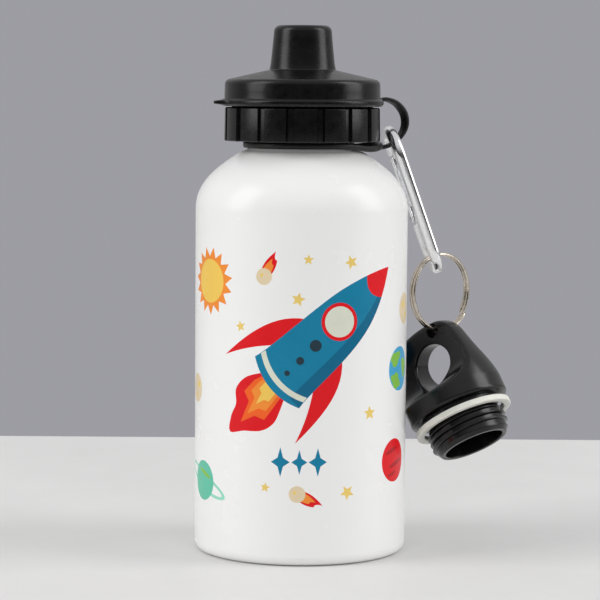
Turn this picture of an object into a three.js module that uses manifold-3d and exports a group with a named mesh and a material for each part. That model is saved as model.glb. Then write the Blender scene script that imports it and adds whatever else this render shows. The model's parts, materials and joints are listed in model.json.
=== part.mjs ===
// A 500 ml aluminium sports bottle with a screw-on drinking lid, a tethered dust cover, and a spare
// loop cap that hangs from the tether by a small carabiner and a split ring.
// Units are millimetres and +Z is up. The origin is on the bottle's axis, in the plane it stands on.
// The front of the bottle faces -Y.

import * as THREE from 'three';
import { mergeVertices } from 'three/addons/utils/BufferGeometryUtils.js';
import Module from 'manifold-3d';

const wasm = await Module();
wasm.setup();

// ---------------------------------------------------------------- driving dimensions

const GAP = 0.3; // between pieces that touch on the real object

const bottle = {
  radius: 36.5,
  wall: 1.0,
  cornerRadius: 3.5,
  dishRadius: 27.0, // recessed middle of the base
  dishDepth: 0.8,
  shoulderBottom: 118.0,
  shoulderTop: 137.7,
  neckFootRadius: 20.9,
  neckRadius: 18.0,
  neckFoot: 140.0,
  mouth: 147.5, // rolled rim that the gasket seats on
  rimBevel: 0.6,
  boreRadius: 14.75,
  boreBottom: 137.6,
  shoulderRise: 127.0, // the shoulder's curve leaves the wall towards this height
  shoulderLean: { radius: 29.5, height: 132.3 }, // and reaches the neck from this point
  innerRise: 126.6, // the same inside the wall
  innerLean: { radius: 28.8, height: 131.4 },
  innerNeckFoot: { radius: 19.5, height: 136.6 },
  segments: 32,
};

const thread = {
  pitch: 2.2,
  maleFoot: 139.5, // the lid's ridge starts here; the neck's ridges lie half a pitch away from it
  coreRadius: 13.1, // male core, on the lid and on the loop cap
  maleTip: 14.3,
  femaleTip: 13.65,
  rootWidth: 1.2,
  tipWidth: 0.5,
  lidTurns: 3.2,
  capTurns: 3.2,
  neckTurns: 3.4,
  stepsPerTurn: 16,
  fadeSteps: 4, // at each end
  embed: 0.35, // each ridge is sunk this far into the wall that carries it
};

const lid = {
  collarRadius: 26.8,
  collarBottom: 141.3,
  collarTop: 152.8,
  skirtWall: 2.4,
  underDeck: 150.2,
  plugBottom: 138.6,
  plugBore: 10.6,
  grooves: 16,
  grooveWidth: 2.0,
  grooveDepth: 0.7,
  deckRadius: 24.2, // the deck inside the dust cover rises to a plateau round the spout's post
  deckEdge: 154.8,
  deckBevel: 0.6,
  plateauRadius: 10.2,
  plateau: 157.6,
  postRadius: 5.1,
  postTop: 165.6,
  sealGroove: { radius: 4.4, bottom: 163.5, top: 164.9 },
  postBore: 3.7,
  postBoreFoot: 154.2,
  plugBoreTop: 152.4,
  ports: { count: 3, radius: 0.75, across: 2.85 }, // let the drink out round the pin
  pinRadius: 1.8,
  pinTop: 169.6,
  segments: 32,
};

const spout = {
  bottom: 158.0,
  top: 170.0,
  bore: 5.9,
  waist: 6.9,
  waistHeight: 164.5,
  bead: 7.6,
  footHeight: 1.6,
  beadFoot: 167.3,
  beadHead: 168.4,
  hole: 2.15,
};

const spoutSeal = { radius: 5.15, section: 0.42, height: 164.2 };

const cover = {
  rim: 153.2,
  lipRadius: 27.65,
  lipTop: 155.9,
  wallRadius: 26.8,
  wallTop: 162.0,
  nubFootRadius: 11.3,
  nubFoot: 165.6,
  nubHead: 176.0, // the nub tapers to here, then more steeply to its rounded top
  nubTopRadius: 9.7,
  nubRound: 1.7,
  innerNubRadius: 7.8,
  top: 180.8,
  skin: 1.4,
  tabReach: 31.9,
  tabWidth: 9.0,
  tabThickness: 1.8,
  segments: 32,
};

// The tether leaves the cover on the right, a little towards the back.
const strapAzimuth = THREE.MathUtils.degToRad(20);
const strap = {
  width: 3.2,
  thickness: 1.6,
  // (distance from the bottle's axis, height) along its middle, from the cover's lip to the neck ring
  line: [
    [28.25, 155.0],
    [30.6, 155.6],
    [34.4, 154.4],
    [37.2, 151.4],
    [38.1, 148.0],
    [37.4, 144.8],
    [35.2, 141.8],
    [32.4, 139.8],
    [29.8, 139.1],
  ],
};
const neckRing = { radius: 19.6, width: 1.9, height: 2.0, z: 140.05, segments: 48 };
// It is pulled out towards the tether and droops on both sides of it. Angles are in degrees.
const ringPull = { reach: 8.1, spread: 38, shift: 0.2 };
const ringDroop = { depth: 1.2, at: 30, spread: 18 };

const carabiner = {
  azimuth: THREE.MathUtils.degToRad(6.3), // direction that it leans in
  lean: THREE.MathUtils.degToRad(20),
  hookRadius: 32.1, // distance of its top bar from the bottle's axis
  hookHeight: 144.4,
  length: 50.2, // top bar to bottom bar, centre to centre
  topArc: 8.7,
  bottomArc: 7.2,
  barWidth: 4.2,
  thickness: 4.0,
  bevel: 0.9,
};

const gate = {
  pivotDown: 32.0, // pivot's distance below the top bar
  length: 22.6,
  width: 3.4,
  thickness: 3.6,
  slot: 1.8,
  hingeSlotTop: 4.2,
  noseSlotBottom: 18.4,
  nosePin: 20.9,
  tongue: 1.2,
  boreRadius: 1.15,
  boreTop: 15.0,
  clearance: 0.6, // between its head and the frame
  hingeRadius: 1.9,
  hingeHole: 1.1,
  noseHole: 0.85,
  noseNotch: 0.95,
  noseInside: 1.5, // the nose tongue's reach to either side of the pin
  noseOutside: 1.7,
  noseFoot: 19.0,
  noseRoot: 26.0,
  hingeRoot: 6.0, // how far the hinge tongue runs into the frame
  openingFoot: -2.4,
  openingWidth: 8.0,
};

const pivotPin = { radius: 0.8, length: 4.2 };
const nosePin = { radius: 0.55, length: 3.6 };
const plunger = { radius: 0.6, length: 4.0, height: 4.25 };
const spring = { radius: 0.75, wire: 0.32, pitch: 1.3, turns: 6, stepsPerTurn: 8, height: 10.7 };

const splitRing = {
  radius: 13.3,
  wire: 1.25,
  pitch: 1.35,
  turns: 2,
  stepsPerTurn: 24,
  yaw: THREE.MathUtils.degToRad(-50),
  below: 8.9, // its centre below the carabiner's bottom bar
  across: 2.3,
  endAngle: THREE.MathUtils.degToRad(-35),
};

const loopCap = {
  rimRadius: 12.2,
  bore: 10.6,
  boreDepth: 12.5,
  threadFoot: 1.7,
  flange: 11.2, // underside that its gasket lies against
  neckHeight: 13.0,
  neckRadius: 13.9,
  crownRadius: 18.0,
  crownEdge: 19.0,
  sideFoot: { radius: 16.3, height: 28.4 }, // the loop's straight, tapering sides
  sideHead: { radius: 13.4, height: 38.4 },
  top: 45.6,
  plate: 8.0,
  eyeCentre: 30.6,
  eyeRadius: 7.9,
  eyeTip: 9.8,
  holeHeight: 41.8,
  holeAcross: 6.0,
  holeRadius: 2.35,
  flare: { radius: 17.5, height: 24.0 }, // draws the crown in to the foot of its sides
  shoulder: { radius: 11.8, drop: 1.8 }, // and over the rounded top, in two curves
  dome: { radius: 7.5, drop: 0.7 },
  domeRadius: 3.8,
  sweepHeight: 22.0,
  sweepOut: 1.2,
  eyeSide: 30,
  eyeThroat: { radius: 3.2, drop: 8.4 },
  // the hole's centre below the wire that the cap hangs on, less the ring's curve in the hole
  hangs: 0.35,
  segments: 32,
  // the way it hangs: turned about Z, then tipped in the loop's own plane, then forward
  yaw: THREE.MathUtils.degToRad(-38),
  tip: THREE.MathUtils.degToRad(-32.5),
  forward: THREE.MathUtils.degToRad(-4.5),
};

const gasket = { inner: 14.9, outer: 17.6, height: 2.1 };

// ---------------------------------------------------------------- materials

function plastic(color, roughness) {
  return new THREE.MeshStandardMaterial({ color, roughness, metalness: 0 });
}

function metal(color, roughness) {
  return new THREE.MeshStandardMaterial({ color, roughness, metalness: 1 });
}

const whiteCoat = new THREE.MeshStandardMaterial({ color: 0xf4f4f2, roughness: 0.18, metalness: 0.1 });
const blackLid = () => plastic(0x161617, 0.38);
const blackGloss = () => plastic(0x0d0d0e, 0.2);
const silicone = () => plastic(0xe9e9e3, 0.45);

// ---------------------------------------------------------------- solids

// A closed three.js geometry as a solid that can be joined and cut.
function solidOf(geometry) {
  let bare = geometry.clone();
  bare.deleteAttribute('normal');
  bare.deleteAttribute('uv');
  bare = mergeVertices(bare, 1e-4);
  const position = bare.getAttribute('position');
  const corner = (i) => new THREE.Vector3().fromBufferAttribute(position, i);
  const triangles = [];
  let volume = 0;
  for (let i = 0; i < bare.index.count; i += 3) {
    const [a, b, c] = [0, 1, 2].map((k) => bare.index.getX(i + k));
    if (a !== b && b !== c && c !== a) {
      triangles.push([a, b, c]);
      volume += corner(a).dot(corner(b).cross(corner(c)));
    }
  }
  const order = volume < 0 ? [0, 2, 1] : [0, 1, 2];
  const mesh = new wasm.Mesh({
    numProp: 3,
    vertProperties: Float32Array.from(position.array),
    triVerts: Uint32Array.from(triangles.flatMap((t) => order.map((k) => t[k]))),
  });
  return new wasm.Manifold(mesh);
}

function geometryOf(solid) {
  const mesh = solid.getMesh();
  const geometry = new THREE.BufferGeometry();
  geometry.setAttribute('position', new THREE.BufferAttribute(Float32Array.from(mesh.vertProperties), 3));
  geometry.setIndex(new THREE.BufferAttribute(Uint32Array.from(mesh.triVerts), 1));
  geometry.computeVertexNormals();
  return geometry;
}

// A solid of revolution about Z. The path is drawn as (radius, height).
function turned(path, segments, steps = 6) {
  const points = path.getPoints(steps);
  const geometry = new THREE.LatheGeometry(points, segments);
  geometry.rotateX(Math.PI / 2);
  return solidOf(geometry);
}

function ringPath(inner, outer, bottom, top) {
  const path = new THREE.Path();
  path.moveTo(inner, bottom);
  path.lineTo(outer, bottom);
  path.lineTo(outer, top);
  path.lineTo(inner, top);
  path.lineTo(inner, bottom);
  return path;
}

function rod(radius, length, segments = 12) {
  const geometry = new THREE.CylinderGeometry(radius, radius, length, segments);
  geometry.rotateX(Math.PI / 2);
  return solidOf(geometry);
}

function block(x, y, z) {
  return solidOf(new THREE.BoxGeometry(x, y, z));
}

// An outline in the XZ plane, as thick as given along Y and centred on that plane.
function plate(shape, thickness, options = {}) {
  const bevel = options.bevel ?? 0;
  const geometry = new THREE.ExtrudeGeometry(shape, {
    depth: thickness - 2 * bevel,
    steps: 1,
    curveSegments: options.curveSegments ?? 10,
    bevelEnabled: bevel > 0,
    bevelThickness: bevel,
    bevelSize: bevel,
    bevelOffset: -bevel,
    bevelSegments: 2,
  });
  geometry.translate(0, 0, bevel - thickness / 2);
  geometry.rotateX(Math.PI / 2);
  return solidOf(geometry);
}

// A thread ridge on or in a cylinder. It rises with the turn, right-handed, and fades out at each end.
function threadRidge(rootRadius, tipRadius, bottom, turns) {
  const inward = Math.sign(rootRadius - tipRadius);
  const embedded = rootRadius + inward * thread.embed;
  const section = [
    new THREE.Vector2(embedded, -thread.rootWidth / 2),
    new THREE.Vector2(tipRadius, -thread.tipWidth / 2),
    new THREE.Vector2(tipRadius, thread.tipWidth / 2),
    new THREE.Vector2(embedded, thread.rootWidth / 2),
    new THREE.Vector2(embedded, -thread.rootWidth / 2),
  ];
  const steps = Math.round(turns * thread.stepsPerTurn);
  const geometry = new THREE.LatheGeometry(section, steps, 0, turns * 2 * Math.PI);
  const position = geometry.getAttribute('position');
  for (let step = 0; step <= steps; step += 1) {
    const angle = (step / steps) * turns * 2 * Math.PI;
    const fade = Math.min(1, step / thread.fadeSteps, (steps - step) / thread.fadeSteps);
    section.forEach((point, k) => {
      const i = step * section.length + k;
      const radius = embedded + (point.x - embedded) * fade;
      const height = point.y * fade + bottom + (thread.pitch * angle) / (2 * Math.PI);
      position.setXYZ(i, radius * Math.cos(angle), radius * Math.sin(angle), height);
    });
  }
  return solidOf(geometry);
}

// A round wire wound about Z.
function coil(radius, wire, pitch, turns, stepsPerTurn, sides) {
  const points = [];
  const steps = Math.round(turns * stepsPerTurn);
  for (let i = 0; i <= steps; i += 1) {
    const angle = (i / steps - 0.5) * turns * 2 * Math.PI;
    const height = (pitch * angle) / (2 * Math.PI);
    points.push(new THREE.Vector3(radius * Math.cos(angle), radius * Math.sin(angle), height));
  }
  const section = new THREE.Shape();
  section.absarc(0, 0, wire / 2, 0, 2 * Math.PI);
  return solidOf(new THREE.ExtrudeGeometry(section, {
    steps,
    curveSegments: sides,
    bevelEnabled: false,
    extrudePath: new THREE.CatmullRomCurve3(points),
  }));
}

const part = new THREE.Group();

function addMesh(parent, name, solid, material) {
  const mesh = new THREE.Mesh(geometryOf(solid), material);
  mesh.name = name;
  parent.add(mesh);
  return mesh;
}

// ---------------------------------------------------------------- bottle

function bottleShell() {
  const b = bottle;
  const inner = b.radius - b.wall;
  const lean = b.shoulderLean;
  const innerLean = b.innerLean;
  const path = new THREE.Path();
  path.moveTo(0, b.dishDepth);
  path.lineTo(b.dishRadius, b.dishDepth);
  path.lineTo(b.dishRadius + 1, 0);
  path.lineTo(b.radius - b.cornerRadius, 0);
  path.quadraticCurveTo(b.radius, 0, b.radius, b.cornerRadius);
  path.lineTo(b.radius, b.shoulderBottom);
  path.bezierCurveTo(b.radius, b.shoulderRise, lean.radius, lean.height, b.neckFootRadius, b.shoulderTop);
  path.quadraticCurveTo(b.neckRadius + 0.2, b.shoulderTop + 0.6, b.neckRadius, b.neckFoot);
  path.lineTo(b.neckRadius, b.mouth - b.rimBevel);
  path.lineTo(b.neckRadius - b.rimBevel, b.mouth);
  path.lineTo(b.boreRadius + b.rimBevel, b.mouth);
  path.lineTo(b.boreRadius, b.mouth - b.rimBevel);
  path.lineTo(b.boreRadius, b.boreBottom);
  path.lineTo(b.innerNeckFoot.radius, b.innerNeckFoot.height);
  path.bezierCurveTo(innerLean.radius, innerLean.height, inner, b.innerRise, inner, b.shoulderBottom);
  path.lineTo(inner, b.cornerRadius + b.wall);
  path.lineTo(inner - 1.4, b.dishDepth + b.wall + 0.4);
  path.lineTo(inner - 2.8, b.dishDepth + b.wall);
  path.lineTo(0, b.dishDepth + b.wall);
  const shell = turned(path, b.segments, 4);
  const threadFoot = thread.maleFoot - thread.pitch / 2;
  const ridge = threadRidge(b.boreRadius, thread.femaleTip, threadFoot, thread.neckTurns);
  return shell.add(ridge);
}

addMesh(part, 'bottle_shell', bottleShell(), whiteCoat);

// ---------------------------------------------------------------- drinking lid

function sportLid() {
  const topRadius = lid.collarRadius - 0.2;
  const groove = lid.sealGroove;
  const path = new THREE.Path();
  path.moveTo(lid.plugBore, lid.plugBottom);
  path.lineTo(thread.coreRadius - 0.6, lid.plugBottom);
  path.lineTo(thread.coreRadius, lid.plugBottom + 0.6);
  path.lineTo(thread.coreRadius, lid.underDeck);
  path.lineTo(lid.collarRadius - lid.skirtWall, lid.underDeck);
  path.lineTo(lid.collarRadius - lid.skirtWall, lid.collarBottom);
  path.lineTo(lid.collarRadius, lid.collarBottom);
  path.lineTo(topRadius, lid.collarTop - 0.4);
  path.lineTo(topRadius - 0.4, lid.collarTop);
  path.lineTo(lid.deckRadius, lid.collarTop);
  path.lineTo(lid.deckRadius, lid.deckEdge);
  path.lineTo(lid.deckRadius - lid.deckBevel, lid.deckEdge + lid.deckBevel);
  path.lineTo(lid.plateauRadius, lid.plateau);
  path.lineTo(lid.postRadius, lid.plateau);
  path.lineTo(lid.postRadius, groove.bottom);
  path.lineTo(groove.radius, groove.bottom);
  path.lineTo(groove.radius, groove.top);
  path.lineTo(lid.postRadius, groove.top);
  path.lineTo(lid.postRadius, lid.postTop);
  path.lineTo(lid.pinRadius, lid.postTop);
  path.lineTo(lid.pinRadius, lid.pinTop - 0.5);
  path.lineTo(lid.pinRadius - 0.5, lid.pinTop);
  path.lineTo(0, lid.pinTop);
  path.lineTo(0, lid.postTop - 2);
  path.lineTo(lid.postBore, lid.postTop - 2.6);
  path.lineTo(lid.postBore, lid.postBoreFoot);
  path.lineTo(lid.plugBore, lid.plugBoreTop);
  path.lineTo(lid.plugBore, lid.plugBottom);
  let solid = turned(path, lid.segments);
  const grooveReach = lid.collarRadius - lid.grooveDepth + 2;
  for (let i = 0; i < lid.grooves; i += 1) {
    const angle = ((i + 0.5) / lid.grooves) * 360;
    const cutter = block(4, lid.grooveWidth, 30).translate([grooveReach, 0, lid.collarTop - 10]);
    solid = solid.subtract(cutter.rotate([0, 0, angle]));
  }
  for (let i = 0; i < lid.ports.count; i += 1) {
    const port = rod(lid.ports.radius, 6, 8).translate([lid.ports.across, 0, lid.postTop - 1]);
    solid = solid.subtract(port.rotate([0, 0, (i * 360) / lid.ports.count]));
  }
  return solid.add(threadRidge(thread.coreRadius, thread.maleTip, thread.maleFoot, thread.lidTurns));
}

function drinkingSpout() {
  const path = new THREE.Path();
  path.moveTo(spout.bore, spout.bottom);
  path.lineTo(spout.bead, spout.bottom);
  path.lineTo(spout.bead, spout.bottom + spout.footHeight);
  path.quadraticCurveTo(spout.waist - 0.9, spout.waistHeight, spout.bead, spout.beadFoot);
  path.lineTo(spout.bead, spout.beadHead);
  path.quadraticCurveTo(spout.bead - 0.2, spout.top, spout.waist - 1.4, spout.top);
  path.lineTo(spout.hole, spout.top);
  path.lineTo(spout.hole, spout.top - 2);
  path.lineTo(spout.bore - 1, spout.top - 2);
  path.lineTo(spout.bore, spout.top - 3);
  path.lineTo(spout.bore, spout.bottom);
  return turned(path, 24, 3);
}

function roundRing(radius, section, height) {
  const path = new THREE.Path();
  path.absarc(radius, height, section, 0, 2 * Math.PI, false);
  return turned(path, 20, 4);
}

const lidGasketBottom = bottle.mouth + GAP;
const gasketSolid = (bottom) => turned(
  ringPath(gasket.inner, gasket.outer, bottom, bottom + gasket.height),
  lid.segments,
);

addMesh(part, 'lid_gasket', gasketSolid(lidGasketBottom), silicone());
addMesh(part, 'sport_lid', sportLid(), blackLid());
addMesh(part, 'drinking_spout', drinkingSpout(), blackLid());
const sealSolid = roundRing(spoutSeal.radius, spoutSeal.section, spoutSeal.height);
addMesh(part, 'spout_seal', sealSolid, plastic(0x2a2a2a, 0.6));

// ---------------------------------------------------------------- dust cover and its tether

function dustCover() {
  const c = cover;
  const path = new THREE.Path();
  path.moveTo(c.wallRadius - c.skin, c.rim);
  path.lineTo(c.lipRadius - 0.4, c.rim);
  path.quadraticCurveTo(c.lipRadius + 0.1, c.rim + 1.3, c.lipRadius - 0.2, c.lipTop - 0.4);
  path.lineTo(c.wallRadius, c.lipTop);
  path.lineTo(c.wallRadius - 0.1, c.wallTop - 0.3);
  path.lineTo(c.wallRadius - 0.8, c.wallTop + 0.5);
  path.lineTo(c.nubFootRadius + 0.6, c.nubFoot - 0.1);
  path.lineTo(c.nubFootRadius, c.nubFoot + 0.5);
  path.lineTo(c.nubTopRadius + 0.6, c.nubHead);
  path.lineTo(c.nubTopRadius, c.top - c.nubRound);
  path.absarc(c.nubTopRadius - c.nubRound, c.top - c.nubRound, c.nubRound, 0, Math.PI / 2, false);
  path.lineTo(0, c.top);
  path.lineTo(0, c.top - c.skin);
  path.lineTo(c.innerNubRadius, c.top - c.skin);
  path.lineTo(c.nubTopRadius - 1.2, c.top - c.skin - 0.8);
  path.lineTo(c.nubFootRadius - 1.2, c.nubFoot - 0.6);
  path.lineTo(c.wallRadius - c.skin - 0.7, c.wallTop - 0.7);
  path.lineTo(c.wallRadius - c.skin, c.wallTop - 1.6);
  path.lineTo(c.wallRadius - c.skin, c.rim);
  const shell = turned(path, c.segments, 2);
  const tab = new THREE.Shape();
  tab.moveTo(-c.tabReach, 0);
  tab.quadraticCurveTo(-c.lipRadius - 0.4, c.tabWidth / 8, -c.lipRadius + 1, c.tabWidth / 2);
  tab.lineTo(-c.lipRadius + 1, -c.tabWidth / 2);
  tab.quadraticCurveTo(-c.lipRadius - 0.4, -c.tabWidth / 8, -c.tabReach, 0);
  const tabSolid = solidOf(new THREE.ExtrudeGeometry(tab, {
    depth: c.tabThickness,
    bevelEnabled: false,
    curveSegments: 4,
  }));
  return shell.add(tabSolid.translate([0, 0, c.rim + 0.7]));
}

addMesh(part, 'dust_cover', dustCover(), blackLid()).rotation.z = strapAzimuth;

function neckRingSolid() {
  const r = neckRing;
  const halfWidth = r.width / 2;
  const halfHeight = r.height / 2;
  const path = ringPath(r.radius - halfWidth, r.radius + halfWidth, r.z - halfHeight, r.z + halfHeight);
  const geometry = new THREE.LatheGeometry(path.getPoints(), r.segments);
  geometry.rotateX(Math.PI / 2);
  const position = geometry.getAttribute('position');
  for (let i = 0; i < position.count; i += 1) {
    const angle = Math.atan2(position.getY(i), position.getX(i));
    const radius = Math.hypot(position.getX(i), position.getY(i));
    const away = THREE.MathUtils.radToDeg(Math.abs(angle));
    const pulled = radius + ringPull.shift * Math.cos(angle)
      + ringPull.reach * Math.exp(-((away / ringPull.spread) ** 2));
    const droop = ringDroop.depth * Math.exp(-(((away - ringDroop.at) / ringDroop.spread) ** 2));
    position.setXYZ(i, pulled * Math.cos(angle), pulled * Math.sin(angle), position.getZ(i) - droop);
  }
  return solidOf(geometry);
}

addMesh(part, 'neck_ring', neckRingSolid(), blackLid()).rotation.z = strapAzimuth;

// The band from the cover's lip round to the neck ring, drawn in its own upright plane.
function coverStrap() {
  const centre = new THREE.SplineCurve(strap.line.map(([out, height]) => new THREE.Vector2(out, height)));
  const steps = 16;
  const sides = { outer: [], inner: [] };
  for (let i = 0; i <= steps; i += 1) {
    const point = centre.getPoint(i / steps);
    const along = centre.getTangent(i / steps);
    const half = new THREE.Vector2(-along.y, along.x).multiplyScalar(strap.thickness / 2);
    sides.outer.push(point.clone().add(half));
    sides.inner.unshift(point.clone().sub(half));
  }
  const band = new THREE.Shape([...sides.outer, ...sides.inner]);
  return plate(band, strap.width);
}

addMesh(part, 'cover_strap', coverStrap(), blackLid()).rotation.z = strapAzimuth;

// ---------------------------------------------------------------- carabiner

const hook = new THREE.Vector3(
  carabiner.hookRadius * Math.cos(strapAzimuth),
  carabiner.hookRadius * Math.sin(strapAzimuth),
  carabiner.hookHeight,
);

// Its X runs along the top bar towards the gate, its Z up the spine, and its Y towards the bottle.
const carabinerGroup = new THREE.Group();
carabinerGroup.position.copy(hook);
carabinerGroup.rotation.set(-carabiner.lean, 0, carabiner.azimuth + Math.PI / 2, 'ZYX');
part.add(carabinerGroup);

const topCentre = -carabiner.topArc;
const bottomCentre = -(carabiner.length - carabiner.bottomArc);
const sideSlant = Math.asin((carabiner.topArc - carabiner.bottomArc) / (topCentre - bottomCentre));

// Two arcs joined by the straight sides that touch both.
function pearOutline(PathType, offset) {
  const outline = new PathType();
  const topRadius = carabiner.topArc + offset;
  const bottomRadius = carabiner.bottomArc + offset;
  outline.absarc(0, topCentre, topRadius, -sideSlant, Math.PI + sideSlant, false);
  outline.absarc(0, bottomCentre, bottomRadius, Math.PI + sideSlant, 2 * Math.PI - sideSlant, false);
  outline.closePath();
  return outline;
}

// The side that the gate closes, as a frame at the pivot with Z up along the side.
const pivotX = carabiner.topArc - (gate.pivotDown - carabiner.topArc) * Math.tan(sideSlant);
const gateGroup = new THREE.Group();
gateGroup.position.set(pivotX, 0, -gate.pivotDown);
gateGroup.rotation.y = sideSlant;
carabinerGroup.add(gateGroup);

function inGateFrame(solid) {
  return solid
    .rotate([0, THREE.MathUtils.radToDeg(sideSlant), 0])
    .translate([pivotX, 0, -gate.pivotDown]);
}

function hingeTongue() {
  const shape = new THREE.Shape();
  shape.moveTo(-gate.hingeRadius, -gate.hingeRoot);
  shape.lineTo(gate.hingeRadius, -gate.hingeRoot);
  shape.absarc(0, 0, gate.hingeRadius, 0, Math.PI, false);
  shape.closePath();
  const pinHole = new THREE.Path();
  pinHole.absarc(0, 0, gate.hingeHole, 0, 2 * Math.PI, true);
  shape.holes.push(pinHole);
  return plate(shape, gate.tongue, { curveSegments: 6 });
}

// The nose tongue ends in a hook that is open on the inside, where the gate's cross pin leaves it.
function noseTongue() {
  const notch = gate.noseNotch;
  const inside = -gate.noseInside;
  const outside = gate.noseOutside;
  const root = gate.noseRoot;
  const shape = new THREE.Shape();
  shape.moveTo(inside, gate.noseFoot);
  shape.lineTo(outside, gate.noseFoot);
  shape.lineTo(outside, root);
  shape.lineTo(inside, root);
  shape.lineTo(inside, gate.nosePin + notch);
  shape.lineTo(0, gate.nosePin + notch);
  shape.absarc(0, gate.nosePin, notch, Math.PI / 2, -Math.PI / 2, true);
  shape.lineTo(inside, gate.nosePin - notch);
  shape.closePath();
  return plate(shape, gate.tongue, { curveSegments: 4 });
}

function carabinerFrame() {
  const outline = pearOutline(THREE.Shape, carabiner.barWidth / 2);
  outline.holes.push(pearOutline(THREE.Path, -carabiner.barWidth / 2));
  const bar = plate(outline, carabiner.thickness, { bevel: carabiner.bevel, curveSegments: 8 });
  const foot = gate.openingFoot;
  const head = gate.length + gate.clearance;
  const opening = block(gate.openingWidth, gate.openingWidth, head - foot)
    .translate([0, 0, (head + foot) / 2]);
  return bar
    .subtract(inGateFrame(opening))
    .add(inGateFrame(hingeTongue()))
    .add(inGateFrame(noseTongue()));
}

function gateBody() {
  const half = gate.width / 2;
  const shape = new THREE.Shape();
  shape.moveTo(-half, 0);
  shape.absarc(0, 0, half, Math.PI, 2 * Math.PI, false);
  shape.lineTo(half, gate.length);
  shape.lineTo(-half, gate.length);
  shape.closePath();
  const body = plate(shape, gate.thickness, { bevel: 0.6, curveSegments: 8 });
  const hingeSlot = block(6, gate.slot, 8).translate([0, 0, gate.hingeSlotTop - 4]);
  const noseSlot = block(6, gate.slot, 8).translate([0, 0, gate.noseSlotBottom + 4]);
  const springBore = rod(gate.boreRadius, gate.boreTop, 10).translate([0, 0, gate.boreTop / 2]);
  const cross = (radius, height) => rod(radius, 8, 12).rotate([90, 0, 0]).translate([0, 0, height]);
  return body
    .subtract(hingeSlot)
    .subtract(noseSlot)
    .subtract(springBore)
    .subtract(cross(gate.hingeHole, 0))
    .subtract(cross(gate.noseHole, gate.nosePin));
}

const crossPin = (pin) => rod(pin.radius, pin.length, 12).rotate([90, 0, 0]);

addMesh(carabinerGroup, 'carabiner_frame', carabinerFrame(), metal(0xdfe0e2, 0.22));
addMesh(gateGroup, 'carabiner_gate', gateBody(), metal(0xd8d9dc, 0.25));
addMesh(gateGroup, 'gate_pivot_pin', crossPin(pivotPin), metal(0xb9babd, 0.35));
addMesh(gateGroup, 'gate_nose_pin', crossPin(nosePin), metal(0xb9babd, 0.35))
  .position.set(0, 0, gate.nosePin);
addMesh(gateGroup, 'gate_plunger', rod(plunger.radius, plunger.length, 10), metal(0xb0b1b4, 0.4))
  .position.set(0, 0, plunger.height);
const springSolid = coil(spring.radius, spring.wire, spring.pitch, spring.turns, spring.stepsPerTurn, 2);
addMesh(gateGroup, 'gate_spring', springSolid, metal(0x9a9b9e, 0.4)).position.set(0, 0, spring.height);

// ---------------------------------------------------------------- split ring

carabinerGroup.updateMatrixWorld(true);
const bottomBar = carabinerGroup.localToWorld(new THREE.Vector3(0, 0, -carabiner.length));

// The ring stands upright. Its own X lies in its plane and its own Z is its axis, level.
const ringTangent = new THREE.Vector3(Math.sin(-splitRing.yaw), Math.cos(splitRing.yaw), 0);
const ringCentre = bottomBar.clone()
  .addScaledVector(ringTangent, splitRing.across)
  .add(new THREE.Vector3(0, 0, -splitRing.below));

const ringGroup = new THREE.Group();
ringGroup.position.copy(ringCentre);
ringGroup.rotation.set(Math.PI / 2, 0, splitRing.yaw + Math.PI / 2, 'ZYX');
part.add(ringGroup);

const ringSolid = coil(
  splitRing.radius,
  splitRing.wire,
  splitRing.pitch,
  splitRing.turns,
  splitRing.stepsPerTurn,
  3,
);
addMesh(ringGroup, 'split_ring', ringSolid, metal(0xcfc9bd, 0.25)).rotation.z = splitRing.endAngle;

// ---------------------------------------------------------------- loop cap

// Its own Z is the screw axis, from the thread's end up to the loop; the eye runs along its own Y.
const capGroup = new THREE.Group();
capGroup.rotation.set(loopCap.forward, loopCap.tip, loopCap.yaw, 'ZYX');
const ringBottom = ringCentre.clone().add(new THREE.Vector3(0, 0, -splitRing.radius - loopCap.hangs));
const holeInCap = new THREE.Vector3(loopCap.holeAcross, 0, loopCap.holeHeight);
capGroup.position.copy(ringBottom).sub(holeInCap.clone().applyEuler(capGroup.rotation));
part.add(capGroup);

function crownBell() {
  const c = loopCap;
  const path = new THREE.Path();
  path.moveTo(0, c.neckHeight - 1);
  path.lineTo(c.neckRadius, c.neckHeight - 1);
  path.lineTo(c.neckRadius, c.neckHeight);
  path.lineTo(c.crownRadius - 0.8, c.neckHeight);
  path.lineTo(c.crownRadius, c.neckHeight + 0.8);
  path.lineTo(c.crownRadius, c.crownEdge);
  path.quadraticCurveTo(c.flare.radius, c.flare.height, c.sideFoot.radius, c.sideFoot.height);
  path.lineTo(c.sideHead.radius, c.sideHead.height);
  path.quadraticCurveTo(c.shoulder.radius, c.top - c.shoulder.drop, c.dome.radius, c.top - c.dome.drop);
  path.quadraticCurveTo(c.domeRadius, c.top, 0, c.top);
  return turned(path, c.segments, 4);
}

// Seen from the side: a plate at the top that sweeps out to the full crown.
function sideSweep() {
  const c = loopCap;
  const half = c.plate / 2;
  const edge = c.crownRadius + 1;
  const shape = new THREE.Shape();
  shape.moveTo(-edge, c.neckHeight - 2);
  shape.lineTo(edge, c.neckHeight - 2);
  shape.lineTo(edge, c.crownEdge);
  shape.quadraticCurveTo(half + c.sweepOut, c.sweepHeight, half, c.eyeCentre + 3);
  shape.lineTo(half - 0.2, c.top - 2.4);
  shape.lineTo(half - 1.8, c.top + 1);
  shape.lineTo(1.8 - half, c.top + 1);
  shape.lineTo(0.2 - half, c.top - 2.4);
  shape.lineTo(-half, c.eyeCentre + 3);
  shape.quadraticCurveTo(-half - c.sweepOut, c.sweepHeight, -edge, c.crownEdge);
  shape.closePath();
  return plate(shape, 3 * c.crownRadius, { curveSegments: 5 }).rotate([0, 0, 90]);
}

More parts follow.
